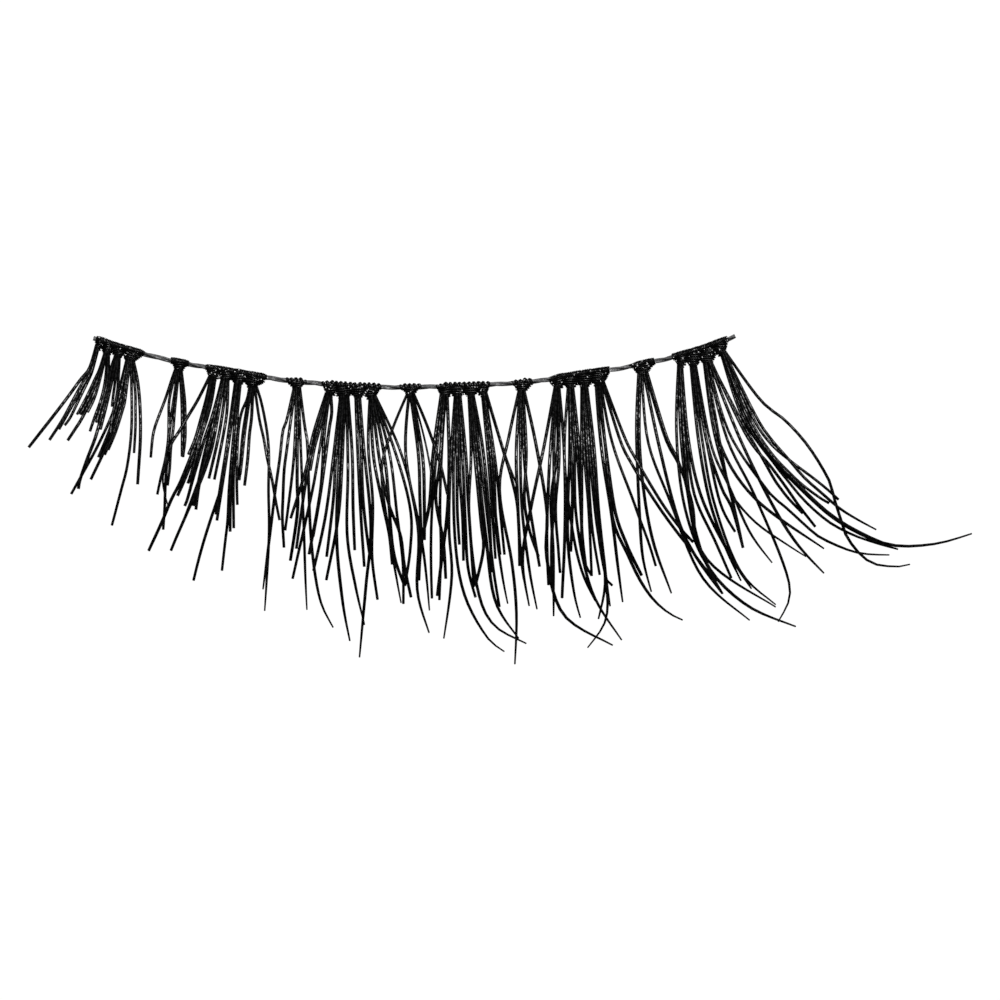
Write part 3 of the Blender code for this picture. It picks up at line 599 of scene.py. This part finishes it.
def lash_tree() -> GeometryTree:
    """Write the tree that turns charted lines into curled lashes."""
    tree = GeometryTree("Curled lashes")
    chart = tree.add_input("Chart", "NodeSocketGeometry")
    arch = tree.number("Curl height", 2.75 * MM)
    span = tree.number("Curl span", 13.0 * MM)
    root = tree.number("Root height", 0.19 * MM)
    rest = tree.number("Resting height", 0.10 * MM)
    taper_start = tree.number("Taper start", 0.75)
    taper_power = tree.number("Taper power", 1.5)
    wander = tree.number("Wander", 0.03 * MM)
    wander_scale = tree.number("Wander scale", 420.0)
    wander_lift = tree.number("Wander lift", 0.2)
    steps = tree.add_input("Steps", "NodeSocketInt", 28)
    sides = tree.add_input("Sides", "NodeSocketInt", 8)
    seed = tree.number("Seed", 0.0)
    material = tree.add_input("Fibre", "NodeSocketMaterial")
    smooth = tree.smooth_line(chart)
    even = tree.node("GeometryNodeResampleCurve", {"Curve": smooth, "Count": steps}, mode="COUNT")
    run = tree.node("GeometryNodeSplineParameter")
    marked = tree.keep(even.outputs[0], "along", run.outputs["Factor"])
    share = tree.maths("DIVIDE", run.outputs["Length"], span)
    base = tree.maths("MULTIPLY_ADD", tree.maths("SUBTRACT", rest, root), share, root)
    hump = tree.maths("MULTIPLY", share, tree.maths("SUBTRACT", 1.0, share))
    own_arch = tree.maths("MULTIPLY", arch, tree.attribute("arch_scale"))
    curl = tree.maths("MULTIPLY", tree.maths("MULTIPLY", hump, own_arch), 4.0)
    height = tree.maths("ADD", tree.maths("ADD", base, curl), tree.attribute("layer"))
    place = tree.node("GeometryNodeInputPosition").outputs[0]
    noise_feeds = {"Vector": place, "W": seed, "Scale": wander_scale, "Detail": 1.0}
    noise = tree.node("ShaderNodeTexNoise", noise_feeds, noise_dimensions="4D")
    drift = tree.vector("SUBTRACT", noise.outputs["Color"], NOISE_MIDDLE)
    reach = tree.maths("MULTIPLY", wander, run.outputs["Factor"])
    sway = tree.vector("SCALE", drift, scale=reach)
    lift = tree.node("ShaderNodeCombineXYZ", {"Z": height}).outputs[0]
    flat = tree.node("ShaderNodeCombineXYZ", {"X": 1.0, "Y": 1.0, "Z": wander_lift}).outputs[0]
    shift = tree.vector("ADD", lift, tree.vector("MULTIPLY", sway, flat))
    curled = tree.node("GeometryNodeSetPosition", {"Geometry": marked, "Offset": shift})
    past = tree.maths("SUBTRACT", tree.attribute("along"), taper_start)
    past_share = tree.maths("DIVIDE", past, tree.maths("SUBTRACT", 1.0, taper_start))
    thinning = tree.maths("POWER", tree.maths("MAXIMUM", past_share, 0.0), taper_power)
    loss = tree.maths("MULTIPLY", thinning, tree.maths("SUBTRACT", 1.0, tree.attribute("tip_share")))
    radius = tree.maths("MULTIPLY", tree.attribute("gauge"), tree.maths("SUBTRACT", 1.0, loss))
    tree.finish(tree.tube(curled.outputs[0], radius, sides), material)
    return tree


def winding_tree() -> GeometryTree:
    """Write the tree that winds a thread round a line."""
    tree = GeometryTree("Wound thread")
    path = tree.add_input("Path", "NodeSocketGeometry")
    thread = tree.number("Thread radius", 0.045 * MM)
    pitch = tree.number("Pitch", 0.1 * MM)
    phase = tree.number("Phase", 0.0)
    steps = tree.number("Steps per turn", 14.0)
    uneven = tree.number("Unevenness", 0.03 * MM)
    uneven_scale = tree.number("Unevenness scale", 6000.0)
    sides = tree.add_input("Sides", "NodeSocketInt", 6)
    seed = tree.number("Seed", 0.0)
    material = tree.add_input("Finish", "NodeSocketMaterial")
    smooth = tree.smooth_line(path)
    step = tree.maths("DIVIDE", pitch, steps)
    even = tree.node("GeometryNodeResampleCurve", {"Curve": smooth, "Length": step}, mode="LENGTH")
    run = tree.node("GeometryNodeSplineParameter")
    marked = tree.keep(even.outputs[0], "along", run.outputs["Factor"])
    turns = tree.maths("DIVIDE", run.outputs["Length"], pitch)
    angle = tree.maths("MULTIPLY_ADD", turns, math.tau, phase)
    tangent = tree.node("GeometryNodeInputTangent").outputs[0]
    side = tree.vector("NORMALIZE", tree.vector("CROSS_PRODUCT", tuple(UP), tangent))
    out_side = tree.maths("MULTIPLY", tree.maths("COSINE", angle), tree.attribute("reach_side"))
    out_up = tree.maths("MULTIPLY", tree.maths("SINE", angle), tree.attribute("reach_up"))
    ring = tree.vector("ADD", tree.vector("SCALE", side, scale=out_side),
                       tree.vector("SCALE", tuple(UP), scale=out_up))
    centre = tree.node("GeometryNodeInputPosition").outputs[0]
    spot = tree.vector("ADD", centre, ring)
    noise_feeds = {"Vector": spot, "W": seed, "Scale": uneven_scale, "Detail": 1.0}
    noise = tree.node("ShaderNodeTexNoise", noise_feeds, noise_dimensions="4D")
    drift = tree.vector("SUBTRACT", noise.outputs["Color"], NOISE_MIDDLE)
    shift = tree.vector("ADD", ring, tree.vector("SCALE", drift, scale=uneven))
    wound = tree.node("GeometryNodeSetPosition", {"Geometry": marked, "Offset": shift})
    tree.finish(tree.tube(wound.outputs[0], thread, sides), material)
    return tree


def speck_tree() -> GeometryTree:
    """Write the tree that scatters small drops of dried glue over a surface; their light grey partly stands
    for painted glints.
    """
    tree = GeometryTree("Glue specks with painted glints")
    surface = tree.add_input("Surface", "NodeSocketGeometry")
    density = tree.number("Density", 1.0e7)
    small = tree.number("Smallest", 0.012 * MM)
    large = tree.number("Largest", 0.038 * MM)
    lift = tree.number("Lift", 0.036 * MM)
    seed = tree.add_input("Seed", "NodeSocketInt", 0)
    material = tree.add_input("Glue", "NodeSocketMaterial")
    outward = tree.vector("SCALE", tree.node("GeometryNodeInputNormal").outputs[0], scale=lift)
    raised = tree.node("GeometryNodeSetPosition", {"Geometry": surface, "Offset": outward}).outputs[0]
    spots = tree.node("GeometryNodeDistributePointsOnFaces",
                      {"Mesh": raised, "Density": density, "Seed": seed}, distribute_method="RANDOM")
    drop = tree.node("GeometryNodeMeshIcoSphere", {"Radius": 1.0, "Subdivisions": 2})
    size = tree.node("FunctionNodeRandomValue", {2: small, 3: large, "Seed": seed}, data_type="FLOAT")
    placed = tree.node("GeometryNodeInstanceOnPoints", {
        "Points": spots.outputs["Points"], "Instance": drop.outputs["Mesh"],
        "Rotation": spots.outputs["Rotation"], "Scale": size.outputs[1],
    })
    smooth = tree.node("GeometryNodeSetShadeSmooth", {"Geometry": placed.outputs[0]})
    tree.finish(smooth.outputs[0], material)
    return tree


class Winding(NamedTuple):
    """How a thread is wound: sizes in metres, angle in radians."""

    thread: float
    pitch: float
    phase: float
    uneven: float
    uneven_scale: float
    steps: float
    sides: int
    seed: float


@dataclass(frozen=True)
class Grain:
    """Node group that draws streaks along a fibre and mottles it."""

    name: str = "Fibre streaks"
    mottle_share: float = 0.35
    mask_low: float = 0.22
    mask_high: float = 0.42

    def write(self) -> bpy.types.NodeTree:
        """Write the group, with its colour, roughness and height outputs."""
        group = TreeWriter(self.name, "ShaderNodeTree")
        scale = group.number("Streak scale", 9000.0)
        stretch = group.number("Stretch", 0.12)
        dark = group.add_input("Dark", "NodeSocketColor", (0.004, 0.004, 0.004, 1.0))
        light = group.add_input("Light", "NodeSocketColor", (0.012, 0.012, 0.012, 1.0))
        smooth = group.number("Smooth", 0.28)
        rough = group.number("Rough", 0.5)
        dull = group.number("Dull", 0.1)
        sheen = group.number("Sheen", 0.6)
        spot = group.node("ShaderNodeTexCoord").outputs["Object"]
        squeeze = group.node("ShaderNodeCombineXYZ", {"X": 1.0, "Y": stretch, "Z": 1.0}).outputs[0]
        drawn = group.vector("MULTIPLY", spot, squeeze)
        streaks = group.node("ShaderNodeTexNoise", {"Vector": drawn, "Scale": scale, "Detail": 3.0})
        mottle_scale = group.maths("MULTIPLY", scale, self.mottle_share)
        mottle = group.node("ShaderNodeTexNoise", {"Vector": spot, "Scale": mottle_scale, "Detail": 2.0})
        blend = group.maths("MULTIPLY", streaks.outputs["Fac"], mottle.outputs["Fac"])
        mask = group.node("ShaderNodeMapRange", {
            "Value": blend, "From Min": self.mask_low, "From Max": self.mask_high,
        })
        colour = group.node("ShaderNodeMix", data_type="RGBA")
        group.feed(colour.inputs["Factor"], mask.outputs[0])
        group.feed(colour.inputs[6], dark)
        group.feed(colour.inputs[7], light)
        span = group.maths("SUBTRACT", smooth, rough)
        gloss = group.maths("MULTIPLY_ADD", mask.outputs[0], span, rough)
        shine = group.maths("MULTIPLY_ADD", mask.outputs[0], group.maths("SUBTRACT", sheen, dull), dull)
        group.add_output("Colour", "NodeSocketColor", colour.outputs[2])
        group.add_output("Specular", "NodeSocketFloat", shine)
        group.add_output("Roughness", "NodeSocketFloat", gloss)
        group.add_output("Height", "NodeSocketFloat", streaks.outputs["Fac"])
        return group.tree


@dataclass(frozen=True)
class FibreFinish:
    """A finish of drawn or spun fibre."""

    name: str
    dark: Colour
    light: Colour
    smooth: float
    rough: float
    streak_scale: float
    stretch: float
    bump: float
    dull: float
    sheen: float

    def make(self, streaks: bpy.types.NodeTree) -> bpy.types.Material:
        """Make the material round the shared streak group."""
        material = bpy.data.materials.new(self.name)
        material.use_nodes = True
        nodes = material.node_tree.nodes
        links = material.node_tree.links
        shader = nodes["Principled BSDF"]
        grain = nodes.new("ShaderNodeGroup")
        grain.node_tree = streaks
        values = {
            "Streak scale": self.streak_scale, "Stretch": self.stretch,
            "Dark": linear(self.dark), "Light": linear(self.light),
            "Smooth": self.smooth, "Rough": self.rough, "Dull": self.dull, "Sheen": self.sheen,
        }
        for name, value in values.items():
            grain.inputs[name].default_value = value
        bump = nodes.new("ShaderNodeBump")
        bump.inputs["Strength"].default_value = self.bump
        bump.inputs["Distance"].default_value = BUMP_DEPTH
        links.new(grain.outputs["Height"], bump.inputs["Height"])
        links.new(grain.outputs["Colour"], shader.inputs["Base Color"])
        links.new(grain.outputs["Roughness"], shader.inputs["Roughness"])
        links.new(bump.outputs["Normal"], shader.inputs["Normal"])
        links.new(grain.outputs["Specular"], shader.inputs["Specular IOR Level"])
        return material


LASH_FIBRE = FibreFinish(
    name="lash_fibre", dark=(0.0015, 0.0015, 0.0015), light=(0.006, 0.006, 0.0065),
    smooth=0.20, rough=0.34, streak_scale=15000.0, stretch=0.12,
    bump=0.4, dull=0.04, sheen=0.80,
)
KNOT_FIBRE = FibreFinish(
    name="knot_fibre", dark=(0.0015, 0.0015, 0.0015), light=(0.008, 0.008, 0.0085),
    smooth=0.20, rough=0.36, streak_scale=22000.0, stretch=1.0,
    bump=0.6, dull=0.05, sheen=0.7,
)
BAND_PLY = FibreFinish(
    name="band_ply", dark=(0.07, 0.07, 0.072), light=(0.26, 0.26, 0.265),
    smooth=0.30, rough=0.55, streak_scale=14000.0, stretch=1.0,
    bump=0.6, dull=0.3, sheen=0.6,
)
# Specks of dried glue on the knots and rolls: their light grey is partly the glue's own colour and partly
# painted glints.
GLUE_SPECK_WITH_GLINT = FibreFinish(
    name="dried_glue_with_painted_glint", dark=(0.20, 0.20, 0.21), light=(0.75, 0.75, 0.76),
    smooth=0.15, rough=0.35, streak_scale=20000.0, stretch=1.0,
    bump=0.2, dull=0.5, sheen=0.7,
)


class Palette:
    """The strip's finishes, made once."""

    def __init__(self) -> None:
        streaks = Grain().write()
        self.lash = LASH_FIBRE.make(streaks)
        self.knot = KNOT_FIBRE.make(streaks)
        self.ply = BAND_PLY.make(streaks)
        # Light grey glue specks, partly painted glints.
        self.glue = GLUE_SPECK_WITH_GLINT.make(streaks)


class Workshop:
    """The trees and finishes that every sub-assembly draws on."""

    def __init__(self) -> None:
        self.palette = Palette()
        self.lashes = lash_tree()
        self.winder = winding_tree()
        self.specks = speck_tree()

    def wind(
        self, name: str, path: bpy.types.Mesh, winding: Winding, finish: bpy.types.Material
    ) -> bpy.types.Mesh:
        """Wind a thread round a path.

        Args:
            name: The new mesh's name.
            path: The line, with its reaches to the side and up.
            winding: The thread and its pitch.
            finish: The thread's material.

        Returns:
            The wound thread.
        """
        return self.winder.grow(path, name, {
            "Thread radius": winding.thread, "Pitch": winding.pitch, "Phase": winding.phase,
            "Steps per turn": winding.steps, "Unevenness": winding.uneven,
            "Unevenness scale": winding.uneven_scale, "Sides": winding.sides, "Seed": winding.seed,
            "Finish": finish,
        })


def add_piece(name: str, meshes: list[bpy.types.Mesh], replaced: list[str]) -> bpy.types.Object:
    """Join meshes into one piece of the strip and seat it on the frame.

    Args:
        name: The piece's name.
        meshes: The meshes, which keep their materials.
        replaced: The nodes that the piece stands for.

    Returns:
        The piece.
    """
    work = bmesh.new()
    finishes = []
    for mesh in meshes:
        first = len(work.faces)
        work.from_mesh(mesh)
        work.faces.ensure_lookup_table()
        finish = mesh.materials[0]
        if finish not in finishes:
            finishes.append(finish)
        for face in work.faces[first:]:
            face.material_index = finishes.index(finish)
    joined = bpy.data.meshes.new(name)
    work.to_mesh(joined)
    work.free()
    for finish in finishes:
        joined.materials.append(finish)
    for mesh in meshes:
        bpy.data.meshes.remove(mesh)
    piece = bpy.data.objects.new(name, joined)
    bpy.context.scene.collection.objects.link(piece)
    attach(piece, "root")
    if replaced:
        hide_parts(*replaced)
    LOG.info("%s: %d faces", name, len(joined.polygons))
    return piece


class BandLine:
    """The band's centre line, at the height where the knots hold it."""

    def __init__(self, height: float) -> None:
        lift = UP * height
        self.knots = [on_table(place) + lift for place in BAND_PATH]

    def at(self, x: float) -> tuple[Vector, Vector]:
        """Find the line above a place along X.

        Args:
            x: The place, in metres.

        Returns:
            The point of the line, and the line's direction there.
        """
        line = self.smooth()
        held = min(max(x, line[0].x), line[-1].x)
        legs = zip(line, line[1:])
        start, end = next((start, end) for start, end in legs if held <= end.x)
        share = (held - start.x) / (end.x - start.x)
        return start.lerp(end, share), (end - start).normalized()

    def smooth(self, steps: int = 8) -> list[Vector]:
        """Return the line as many short straight steps."""
        knots = self.knots
        ends = [knots[0] * 2.0 - knots[1], *knots, knots[-1] * 2.0 - knots[-2]]
        path = [knots[0].copy()]
        for leg in range(len(knots) - 1):
            before, start, end, after = ends[leg:leg + 4]
            for step in range(1, steps + 1):
                share = step / steps
                path.append(catmull_point(before, start, end, after, share))
        return path


def catmull_point(before: Vector, start: Vector, end: Vector, after: Vector, share: float) -> Vector:
    """Return a point of the smooth curve from start to end."""
    straight = end - before
    bend = before * 2.0 - start * 5.0 + end * 4.0 - after
    twist = start * 3.0 - before - end * 3.0 + after
    return (start * 2.0 + straight * share + bend * share ** 2 + twist * share ** 3) * 0.5


@dataclass
class Lashes:
    """The curled strands of one tuft."""

    index: int
    tuft: Tuft
    curl_heights: tuple[float, float, float] = (2.30 * MM, 2.75 * MM, 3.20 * MM)
    curl_span: float = 13.0 * MM
    layer_step: float = 0.075 * MM
    layers: int = 3
    root_bury: float = 0.26 * MM
    root_margin: float = 0.15
    arch_spread: float = 0.05
    gauge_spread: float = 0.10

    def line(self, order: int) -> list[Vector]:
        """Return one strand's places, from inside the knot to its tip."""
        strand = self.tuft.strands[order]
        last = len(self.tuft.strands) - 1
        spread = (self.tuft.neck_width - self.root_margin) * MM
        neck = on_table(self.tuft.neck) + Vector((spread * (order / last - 0.5), 0.0, 0.0))
        root = neck + Vector((0.0, self.root_bury, 0.0))
        return [root, *(on_table(place) for place in strand.places)]

    def make(self, shop: Workshop) -> bpy.types.Mesh:
        """Build all the strands of the tuft as one mesh."""
        dice = random.Random(self.index)
        lines = [self.line(order) for order in range(len(self.tuft.strands))]
        lengths = [sum((b - a).length for a, b in zip(line, line[1:])) for line in lines]
        gauges = []
        tips = []
        for strand in self.tuft.strands:
            thickness, tip_share = strand.cut.value
            chance = dice.uniform(1.0 - self.gauge_spread, 1.0 + self.gauge_spread)
            gauges.append(thickness * 0.5 * MM * chance)
            tips.append(tip_share)
        numbers = {
            "gauge": gauges,
            "tip_share": tips,
            "layer": [self.layer_step * (order % self.layers) for order in range(len(lines))],
            "arch_scale": [dice.uniform(1.0 - self.arch_spread, 1.0) for _ in lines],
        }
        chart = lines_mesh("chart", lines, numbers)
        return shop.lashes.grow(chart, f"lashes_{self.index + 1:02d}", {
            "Curl height": self.curl_heights[self.index % len(self.curl_heights)],
            "Curl span": max(self.curl_span, *lengths),
            "Seed": float(self.index),
            "Fibre": shop.palette.lash,
        })


def seam_of(tuft: Tuft) -> Seam:
    """Return the seam that a tuft hangs from."""
    return next(seam for seam in SEAMS if seam.first <= tuft.neck.x <= seam.last)


class Section(NamedTuple):
    """An oval cross-section: its centre, the way of its long side, and half its width and height."""

    centre: Vector
    side: Vector
    half_width: float
    half_height: float

    def shrunk(self, depth: float) -> "Section":
        """Return the section that lies a depth below this one."""
        return self._replace(half_width=self.half_width - depth, half_height=self.half_height - depth)


def loft(name: str, sections: list[Section], corners: int = 16) -> bpy.types.Mesh:
    """Skin a closed, smooth body over oval sections.

    Args:
        name: The mesh's name.
        sections: The sections, from one end to the other.
        corners: How many corners each section gets.

    Returns:
        The body.
    """
    work = bmesh.new()
    rings = []
    for section in sections:
        angles = [math.tau * corner / corners for corner in range(corners)]
        rings.append([
            work.verts.new(section.centre + section.side * (section.half_width * math.cos(angle))
                           + UP * (section.half_height * math.sin(angle)))
            for angle in angles
        ])
    for upper, lower in zip(rings, rings[1:]):
        for corner in range(corners):
            beside = (corner + 1) % corners
            work.faces.new((upper[corner], upper[beside], lower[beside], lower[corner]))
    work.faces.new(rings[0])
    work.faces.new(rings[-1])
    bmesh.ops.recalc_face_normals(work, faces=work.faces)
    mesh = bpy.data.meshes.new(name)
    work.to_mesh(mesh)
    work.free()
    mesh.shade_smooth()
    return mesh


def wound_body(
    shop: Workshop, sections: list[Section], winding: Winding, speck_seed: int
) -> list[bpy.types.Mesh]:
    """Fill sections with a dark core, wind thread round it and scatter specks of dried glue over it, light
    grey partly as painted glints.

    Args:
        shop: The trees and finishes.
        sections: The body's sections, from one end to the other.
        winding: The thread.
        speck_seed: The seed of the glue specks.

    Returns:
        The core, the thread and the specks.
    """
    inner = [section.shrunk(winding.thread) for section in sections]
    core = loft("core", inner)
    # Specks of dried glue whose light grey is partly painted glints.
    specks = shop.specks.grow(core.copy(), "specks", {"Seed": speck_seed, "Glue": shop.palette.glue})
    core.materials.append(shop.palette.knot)
    path = lines_mesh("path", [[section.centre for section in inner]], {
        "reach_side": [section.half_width for section in inner],
        "reach_up": [section.half_height for section in inner],
    })
    return [core, shop.wind("windings", path, winding, shop.palette.knot), specks]


@dataclass
class Knot:
    """The wound wedge that gathers one tuft below the band."""

    index: int
    tuft: Tuft
    seam: Seam
    band: BandLine
    start_below: float = 0.03 * MM
    overlap: float = 1.30
    arch_bend: float = 3.2
    flank_bend: float = 1.1
    half_height: float = 0.235 * MM
    neck_half_height: float = 0.18 * MM
    thread: float = 0.044 * MM
    pitch: float = 0.105 * MM
    phase_step: float = 1.3
    steps: int = 6

    def half_width(self, step: int, share: float) -> float:
        """Return how far the wedge spreads to one side of its middle.

        Args:
            step: The side, -1 for the left and 1 for the right.
            share: How far down the wedge, from 0 at the band to 1 at the neck.

        Returns:
            The reach, in metres.
        """
        neck_half = self.tuft.neck_width * MM / 2.0
        near = self.index + step
        if self.tuft.cluster and 0 <= near < len(TUFTS) and TUFTS[near].cluster == self.tuft.cluster:
            reach = abs(TUFTS[near].neck.x - self.tuft.neck.x) * MM / 2.0 * self.overlap
            return neck_half + (reach - neck_half) * (1.0 - share ** self.arch_bend)
        end = self.seam.first if step < 0 else self.seam.last
        reach = max(abs(end - self.tuft.neck.x) * MM, neck_half)
        return neck_half + (reach - neck_half) * (1.0 - share) ** self.flank_bend

    def sections(self) -> list[Section]:
        """Return the wedge's sections, from the band down to the neck."""
        point, along = self.band.at(self.tuft.neck.x * MM)
        start = point - UP.cross(along) * self.start_below
        neck = on_table(self.tuft.neck) + UP * start.z
        sections = []
        for step in range(self.steps + 1):
            share = step / self.steps
            left = self.half_width(-1, share)
            right = self.half_width(1, share)
            side = along.lerp(ALONG_X, share).normalized()
            centre = start.lerp(neck, share) + side * ((right - left) / 2.0)
            half_height = self.half_height + (self.neck_half_height - self.half_height) * share
            sections.append(Section(centre, side, (left + right) / 2.0, half_height))
        return sections

    def make(self, shop: Workshop) -> list[bpy.types.Mesh]:
        """Build the wedge's core, its windings and its glue specks, whose light grey is partly painted
        glints.
        """
        winding = Winding(
            thread=self.thread, pitch=self.pitch, phase=self.index * self.phase_step,
            uneven=0.05 * MM, uneven_scale=5000.0, steps=18.0, sides=6, seed=float(self.index),
        )
        return wound_body(shop, self.sections(), winding, self.index)


@dataclass
class SeamRoll:
    """The thread that is wrapped round a stretch of the band."""

    order: int
    seam: Seam
    band: BandLine
    rise: float = 0.225 * MM
    drop: float = 0.20 * MM
    half_height: float = 0.22 * MM
    step: float = 0.24 * MM
    fewest_steps: int = 4
    speck_seed: int = 100

    def sections(self) -> list[Section]:
        """Return the roll's sections along the band."""
        dice = random.Random(self.order)
        *_, ripple = self.seam.wrap.value
        first = self.seam.first * MM
        last = self.seam.last * MM
        steps = max(self.fewest_steps, round((last - first) / self.step))
        half_swell = (1.0 + self.seam.first_swell) / 2.0
        swells = [self.seam.first_swell, half_swell, *(1.0 for _ in range(steps - 2)), self.seam.last_swell]
        sections = []
        for step, swell in enumerate(swells):
            swell *= dice.uniform(1.0 - ripple, 1.0 + ripple)
            point, along = self.band.at(first + (last - first) * step / steps)
            across = UP.cross(along)
            centre = point + across * ((self.rise - self.drop) / 2.0 * swell)
            half_width = (self.rise + self.drop) / 2.0 * swell
            sections.append(Section(centre, across, half_width, self.half_height * swell))
        return sections

    def make(self, shop: Workshop) -> list[bpy.types.Mesh]:
        """Build the roll's core, its windings and its glue specks, whose light grey is partly painted
        glints.
        """
        thread, pitch, uneven, _ = self.seam.wrap.value
        winding = Winding(
            thread=thread * MM, pitch=pitch * MM, phase=0.4, uneven=uneven * MM,
            uneven_scale=4500.0, steps=20.0, sides=6, seed=float(self.order),
        )
        return wound_body(shop, self.sections(), winding, self.speck_seed + self.order)


@dataclass
class Band:
    """The twisted thread that carries the knots, in its film of dried glue."""

    line: BandLine
    ply_radius: float = 0.062 * MM
    twist_radius: float = 0.068 * MM
    twist_pitch: float = 3.4 * MM
    plies: int = 3
    core_radius: float = 0.085 * MM

    def strand(self, shop: Workshop, reach: float, winding: Winding) -> bpy.types.Mesh:
        """Run one thread along the band, at a reach from the band's line."""
        points = self.line.smooth(3)
        reaches = [reach] * len(points)
        path = lines_mesh("ply", [points], {"reach_side": reaches, "reach_up": reaches})
        return shop.wind("ply", path, winding, shop.palette.ply)

    def make(self, shop: Workshop) -> list[bpy.types.Mesh]:
        """Build the plies and the glued thread between them."""
        core = Winding(
            thread=self.core_radius, pitch=self.twist_pitch, phase=0.0, uneven=0.03 * MM,
            uneven_scale=1500.0, steps=24.0, sides=10, seed=9.0,
        )
        meshes = [self.strand(shop, 0.0, core)]
        for order in range(self.plies):
            phase = math.tau * order / self.plies
            ply = core._replace(
                thread=self.ply_radius, phase=phase, uneven=0.04 * MM, sides=8, seed=float(order),
            )
            meshes.append(self.strand(shop, self.twist_radius, ply))
        return meshes


@dataclass
class Studio:
    """The white table, the light and the camera."""

    table_half: float = 0.6
    table_grey: float = 0.04
    table_rough: float = 0.9
    table_glow: float = 0.06
    room_light: float = 0.08
    key_power: float = 0.95
    key_size: tuple[float, float] = (0.16, 0.10)
    key_distance: float = 0.30
    key_tilt: float = math.radians(47.0)
    key_turn: float = math.radians(-14.0)
    lens: float = 900.0
    sensor: float = 36.0
    frame_width: float = 50.0 * MM
    near_share: float = 0.05
    far_share: float = 10.0
    aim: Place = Place(0.025, -0.075)

    def table(self) -> None:
        """Lay the white table that the strip rests on."""
        work = bmesh.new()
        bmesh.ops.create_grid(work, x_segments=1, y_segments=1, size=self.table_half)
        mesh = bpy.data.meshes.new("table")
        work.to_mesh(mesh)
        work.free()
        top = bpy.data.objects.new("table", mesh)
        finish = bpy.data.materials.new("table_white")
        finish.use_nodes = True
        nodes = finish.node_tree.nodes
        shader = nodes["Principled BSDF"]
        shader.inputs["Base Color"].default_value = linear((self.table_grey,) * 3)
        shader.inputs["Roughness"].default_value = self.table_rough
        shader.inputs["Specular IOR Level"].default_value = 0.0
        shader.inputs["Emission Color"].default_value = WHITE
        path = nodes.new("ShaderNodeLightPath")
        glow = nodes.new("ShaderNodeMapRange")
        glow.inputs["To Min"].default_value = self.table_glow
        glow.inputs["To Max"].default_value = 1.0
        finish.node_tree.links.new(path.outputs["Is Camera Ray"], glow.inputs["Value"])
        finish.node_tree.links.new(glow.outputs["Result"], shader.inputs["Emission Strength"])
        mesh.materials.append(finish)
        bpy.context.scene.collection.objects.link(top)
        top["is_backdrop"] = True

    def key_light(self) -> None:
        """Hang the soft box that draws the sheen across the lashes."""
        lamp = bpy.data.lights.new("soft_box", "AREA")
        lamp.shape = "RECTANGLE"
        lamp.size, lamp.size_y = self.key_size
        lamp.energy = self.key_power
        box = bpy.data.objects.new("soft_box", lamp)
        way = Vector((
            -math.sin(self.key_turn) * math.sin(self.key_tilt),
            math.cos(self.key_turn) * math.sin(self.key_tilt),
            math.cos(self.key_tilt),
        ))
        box.location = way * self.key_distance
        box.rotation_euler = way.to_track_quat("Z", "Y").to_euler()
        bpy.context.scene.collection.objects.link(box)

    def surroundings(self) -> None:
        """Give the room its pale, even light."""
        world = bpy.data.worlds.new("white_room")
        world.use_nodes = True
        nodes = world.node_tree.nodes
        links = world.node_tree.links
        room = nodes["Background"]
        room.inputs["Color"].default_value = WHITE
        room.inputs["Strength"].default_value = self.room_light
        seen = nodes.new("ShaderNodeBackground")
        seen.inputs["Color"].default_value = WHITE
        seen.inputs["Strength"].default_value = 1.0
        path = nodes.new("ShaderNodeLightPath")
        mix = nodes.new("ShaderNodeMixShader")
        links.new(path.outputs["Is Camera Ray"], mix.inputs["Fac"])
        links.new(room.outputs[0], mix.inputs[1])
        links.new(seen.outputs[0], mix.inputs[2])
        links.new(mix.outputs[0], nodes["World Output"].inputs["Surface"])
        bpy.context.scene.world = world

    def camera(self) -> None:
        """Look straight down at the strip through a long lens."""
        lens = bpy.data.cameras.new("camera")
        lens.lens = self.lens
        lens.sensor_width = self.sensor
        distance = self.frame_width * self.lens / self.sensor
        lens.clip_start = distance * self.near_share
        lens.clip_end = distance * self.far_share
        view = bpy.data.objects.new("camera", lens)
        view.location = on_table(self.aim) + UP * distance
        bpy.context.scene.collection.objects.link(view)
        bpy.context.scene.camera = view

    def make(self) -> None:
        """Set up the whole studio."""
        self.camera()
        self.table()
        self.key_light()
        self.surroundings()
        bpy.context.scene.view_settings.view_transform = "Standard"


class EyelashStrip:
    """The whole strip: band, seams, knots and lashes."""

    def __init__(self, shop: Workshop) -> None:
        self.shop = shop
        self.band_line = BandLine(BAND_HEIGHT)

    def make_band(self) -> None:
        """Build the band in place of its solid."""
        add_piece("band_thread", Band(self.band_line).make(self.shop), ["band"])

    def make_tufts(self) -> None:
        """Build the lashes and the wound wedge of each tuft."""
        for index, tuft in enumerate(TUFTS):
            number = index + 1
            node = f"tuft_{number:02d}"
            lashes = Lashes(index, tuft).make(self.shop)
            knot = Knot(index, tuft, seam_of(tuft), self.band_line).make(self.shop)
            add_piece(f"lashes_{number:02d}", [lashes], [node])
            add_piece(f"knot_{number:02d}", knot, [node])

    def make_seams(self) -> None:
        """Build the thread that is wrapped round the band."""
        for order, seam in enumerate(SEAMS, start=1):
            roll = SeamRoll(order, seam, self.band_line).make(self.shop)
            add_piece(f"seam_{order:02d}", roll, [])

    def make(self) -> None:
        """Build every piece."""
        self.make_band()
        self.make_tufts()
        self.make_seams()


def corners() -> list[list[float]]:
    """Return the shown object's box as plain numbers."""
    return [list(corner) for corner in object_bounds()]


def main() -> None:
    """Dress the strip and light it."""
    logging.basicConfig(level=logging.INFO)
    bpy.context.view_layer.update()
    Studio().make()
    EyelashStrip(Workshop()).make()


if __name__ == "__main__":
    main()
